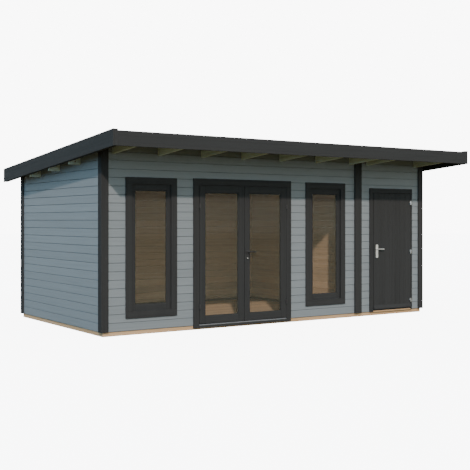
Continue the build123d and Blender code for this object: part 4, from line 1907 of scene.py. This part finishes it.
@dataclass
class Studio:
    """The pale floor, the soft light and the camera at the photograph's angle."""

    camera: Triple = (-7.903, -11.717, 1.542)
    yaw: float = -33.83
    lens: float = 67.09
    sensor: float = 36.0
    shift_y: float = -0.0313
    clip_end: float = 300.0
    sun_way: Triple = (0.493, 0.807, -0.607)
    sun_width: float = 1.6
    sun_strength: float = 3.13
    sun_colour: Colour = (1.0, 0.837, 0.759)
    sky_front: Colour = (1.70, 1.745, 1.625)
    sky_left: Colour = (0.60, 1.245, 1.84)
    sky_high: Colour = (0.30, 0.50, 0.66)
    backdrop: float = 9.0
    floor_radius: float = 90.0
    floor_glow: float = 7.4
    floor_seen: Colour = (0.93, 0.93, 0.93)
    floor_shade: Colour = (0.150, 0.120, 0.060)

    def build(self) -> None:
        """Sets up the floor, the lights and the camera."""
        self._floor()
        self._sun()
        self._sky()
        self._camera()

    def _floor(self) -> None:
        """Lays a wide disc that the camera sees as white and the shed as a dim ground."""
        bm = bmesh.new()
        bmesh.ops.create_circle(bm, cap_ends=True, segments=64, radius=self.floor_radius)
        desk = ShaderDesk("pale_floor")
        seen = desk.camera_ray()
        pale = desk.finish(
            Base_Color=desk.blend(seen, self.floor_shade, self.floor_seen),
            Roughness=0.9,
            Specular_IOR_Level=0.1,
            Emission_Color=desk.blend(seen, (0.0, 0.0, 0.0), (1.0, 1.0, 1.0)),
            Emission_Strength=self.floor_glow,
        )
        floor = place_object("studio_floor", make_mesh("studio_floor", bm, pale))

    def _sun(self) -> None:
        """Adds a warm key from the front left."""
        key = bpy.data.lights.new("key_light", "SUN")
        key.energy = self.sun_strength
        key.angle = math.radians(self.sun_width)
        key.color = self.sun_colour
        lamp = place_object("key_light", key)
        lamp.rotation_mode = "QUATERNION"
        lamp.rotation_quaternion = Vector(self.sun_way).to_track_quat("-Z", "Y")

    def _sky(self) -> None:
        """Wires a soft sky, bluer to the left and darker above, that the camera sees as white."""
        world = bpy.data.worlds.new("soft_sky")
        world.use_nodes = True
        bpy.context.scene.world = world
        desk = NodeDesk(world.node_tree)
        x, _, z = desk.split(desk.node("ShaderNodeTexCoord", {}, {}, "Generated"))
        clamped = {"operation": "MULTIPLY", "use_clamp": True}
        leftward = desk.node("ShaderNodeMath", clamped, {0: x, 1: -1.0})
        around = desk.blend(leftward, self.sky_front, self.sky_left)
        background = desk.tree.nodes["Background"]
        desk.plug(background.inputs["Color"], desk.blend(z, around, self.sky_high))
        white = {"Color": (1.0, 1.0, 1.0), "Strength": self.backdrop}
        backdrop = desk.node("ShaderNodeBackground", {}, white)
        shades = {0: desk.camera_ray(), 1: Signal(desk, background.outputs[0]), 2: backdrop}
        mixed = desk.node("ShaderNodeMixShader", {}, shades)
        desk.plug(desk.tree.nodes["World Output"].inputs["Surface"], mixed)

    def _camera(self) -> None:
        """Places the camera."""
        data = bpy.data.cameras.new("camera")
        data.lens = self.lens
        data.sensor_width = self.sensor
        data.shift_y = self.shift_y
        data.clip_end = self.clip_end
        camera = place_object("camera", data)
        camera.location = self.camera
        camera.rotation_euler = (math.radians(90.0), 0.0, math.radians(self.yaw))
        bpy.context.scene.camera = camera


@dataclass
class GardenShed:
    """The whole shed."""

    frame: dict[str, object]
    finishes: Finishes = field(default_factory=Finishes)

    def build(self) -> None:
        """Dresses the CAD nodes and builds every new piece."""
        nodes = self.frame["nodes"]
        f = self.finishes
        walls = "front_wall_piers front_wall_under_windows front_wall_over_openings"
        dress(nodes, f"{walls} front_wall_top back_wall", f.logs_x)
        dress(nodes, "left_wall right_wall", f.logs_y)
        dress(nodes, "partition_wall", f.logs_bare)
        dress(nodes, "window_panes left_door_pane right_door_pane", f.glass)
        dress(nodes, "doors_threshold", f.aluminium)
        hinges = "left_door_hinges right_door_hinges doors_frame_hinges"
        dress(nodes, f"{hinges} door_lock", f.dark_metal)
        dress(nodes, "store_door_hinges store_frame_hinges store_door_lock", f.steel)
        dress(nodes, "store_door_threshold", f.bare_threshold)
        Foundation(f).build()
        BoardFloors(f).build()
        LogEndCovers(f).build()
        PentRoof(f).build()
        JoineryPaint(f, nodes).build()
        WallScrews(f).build()
        DoorGear(f).build()


def main() -> None:
    """Builds the scene."""
    logging.basicConfig(level=logging.INFO, format="%(name)s: %(message)s")
    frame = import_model()
    Studio().build()
    GardenShed(frame).build()


if __name__ == "__main__":
    main()
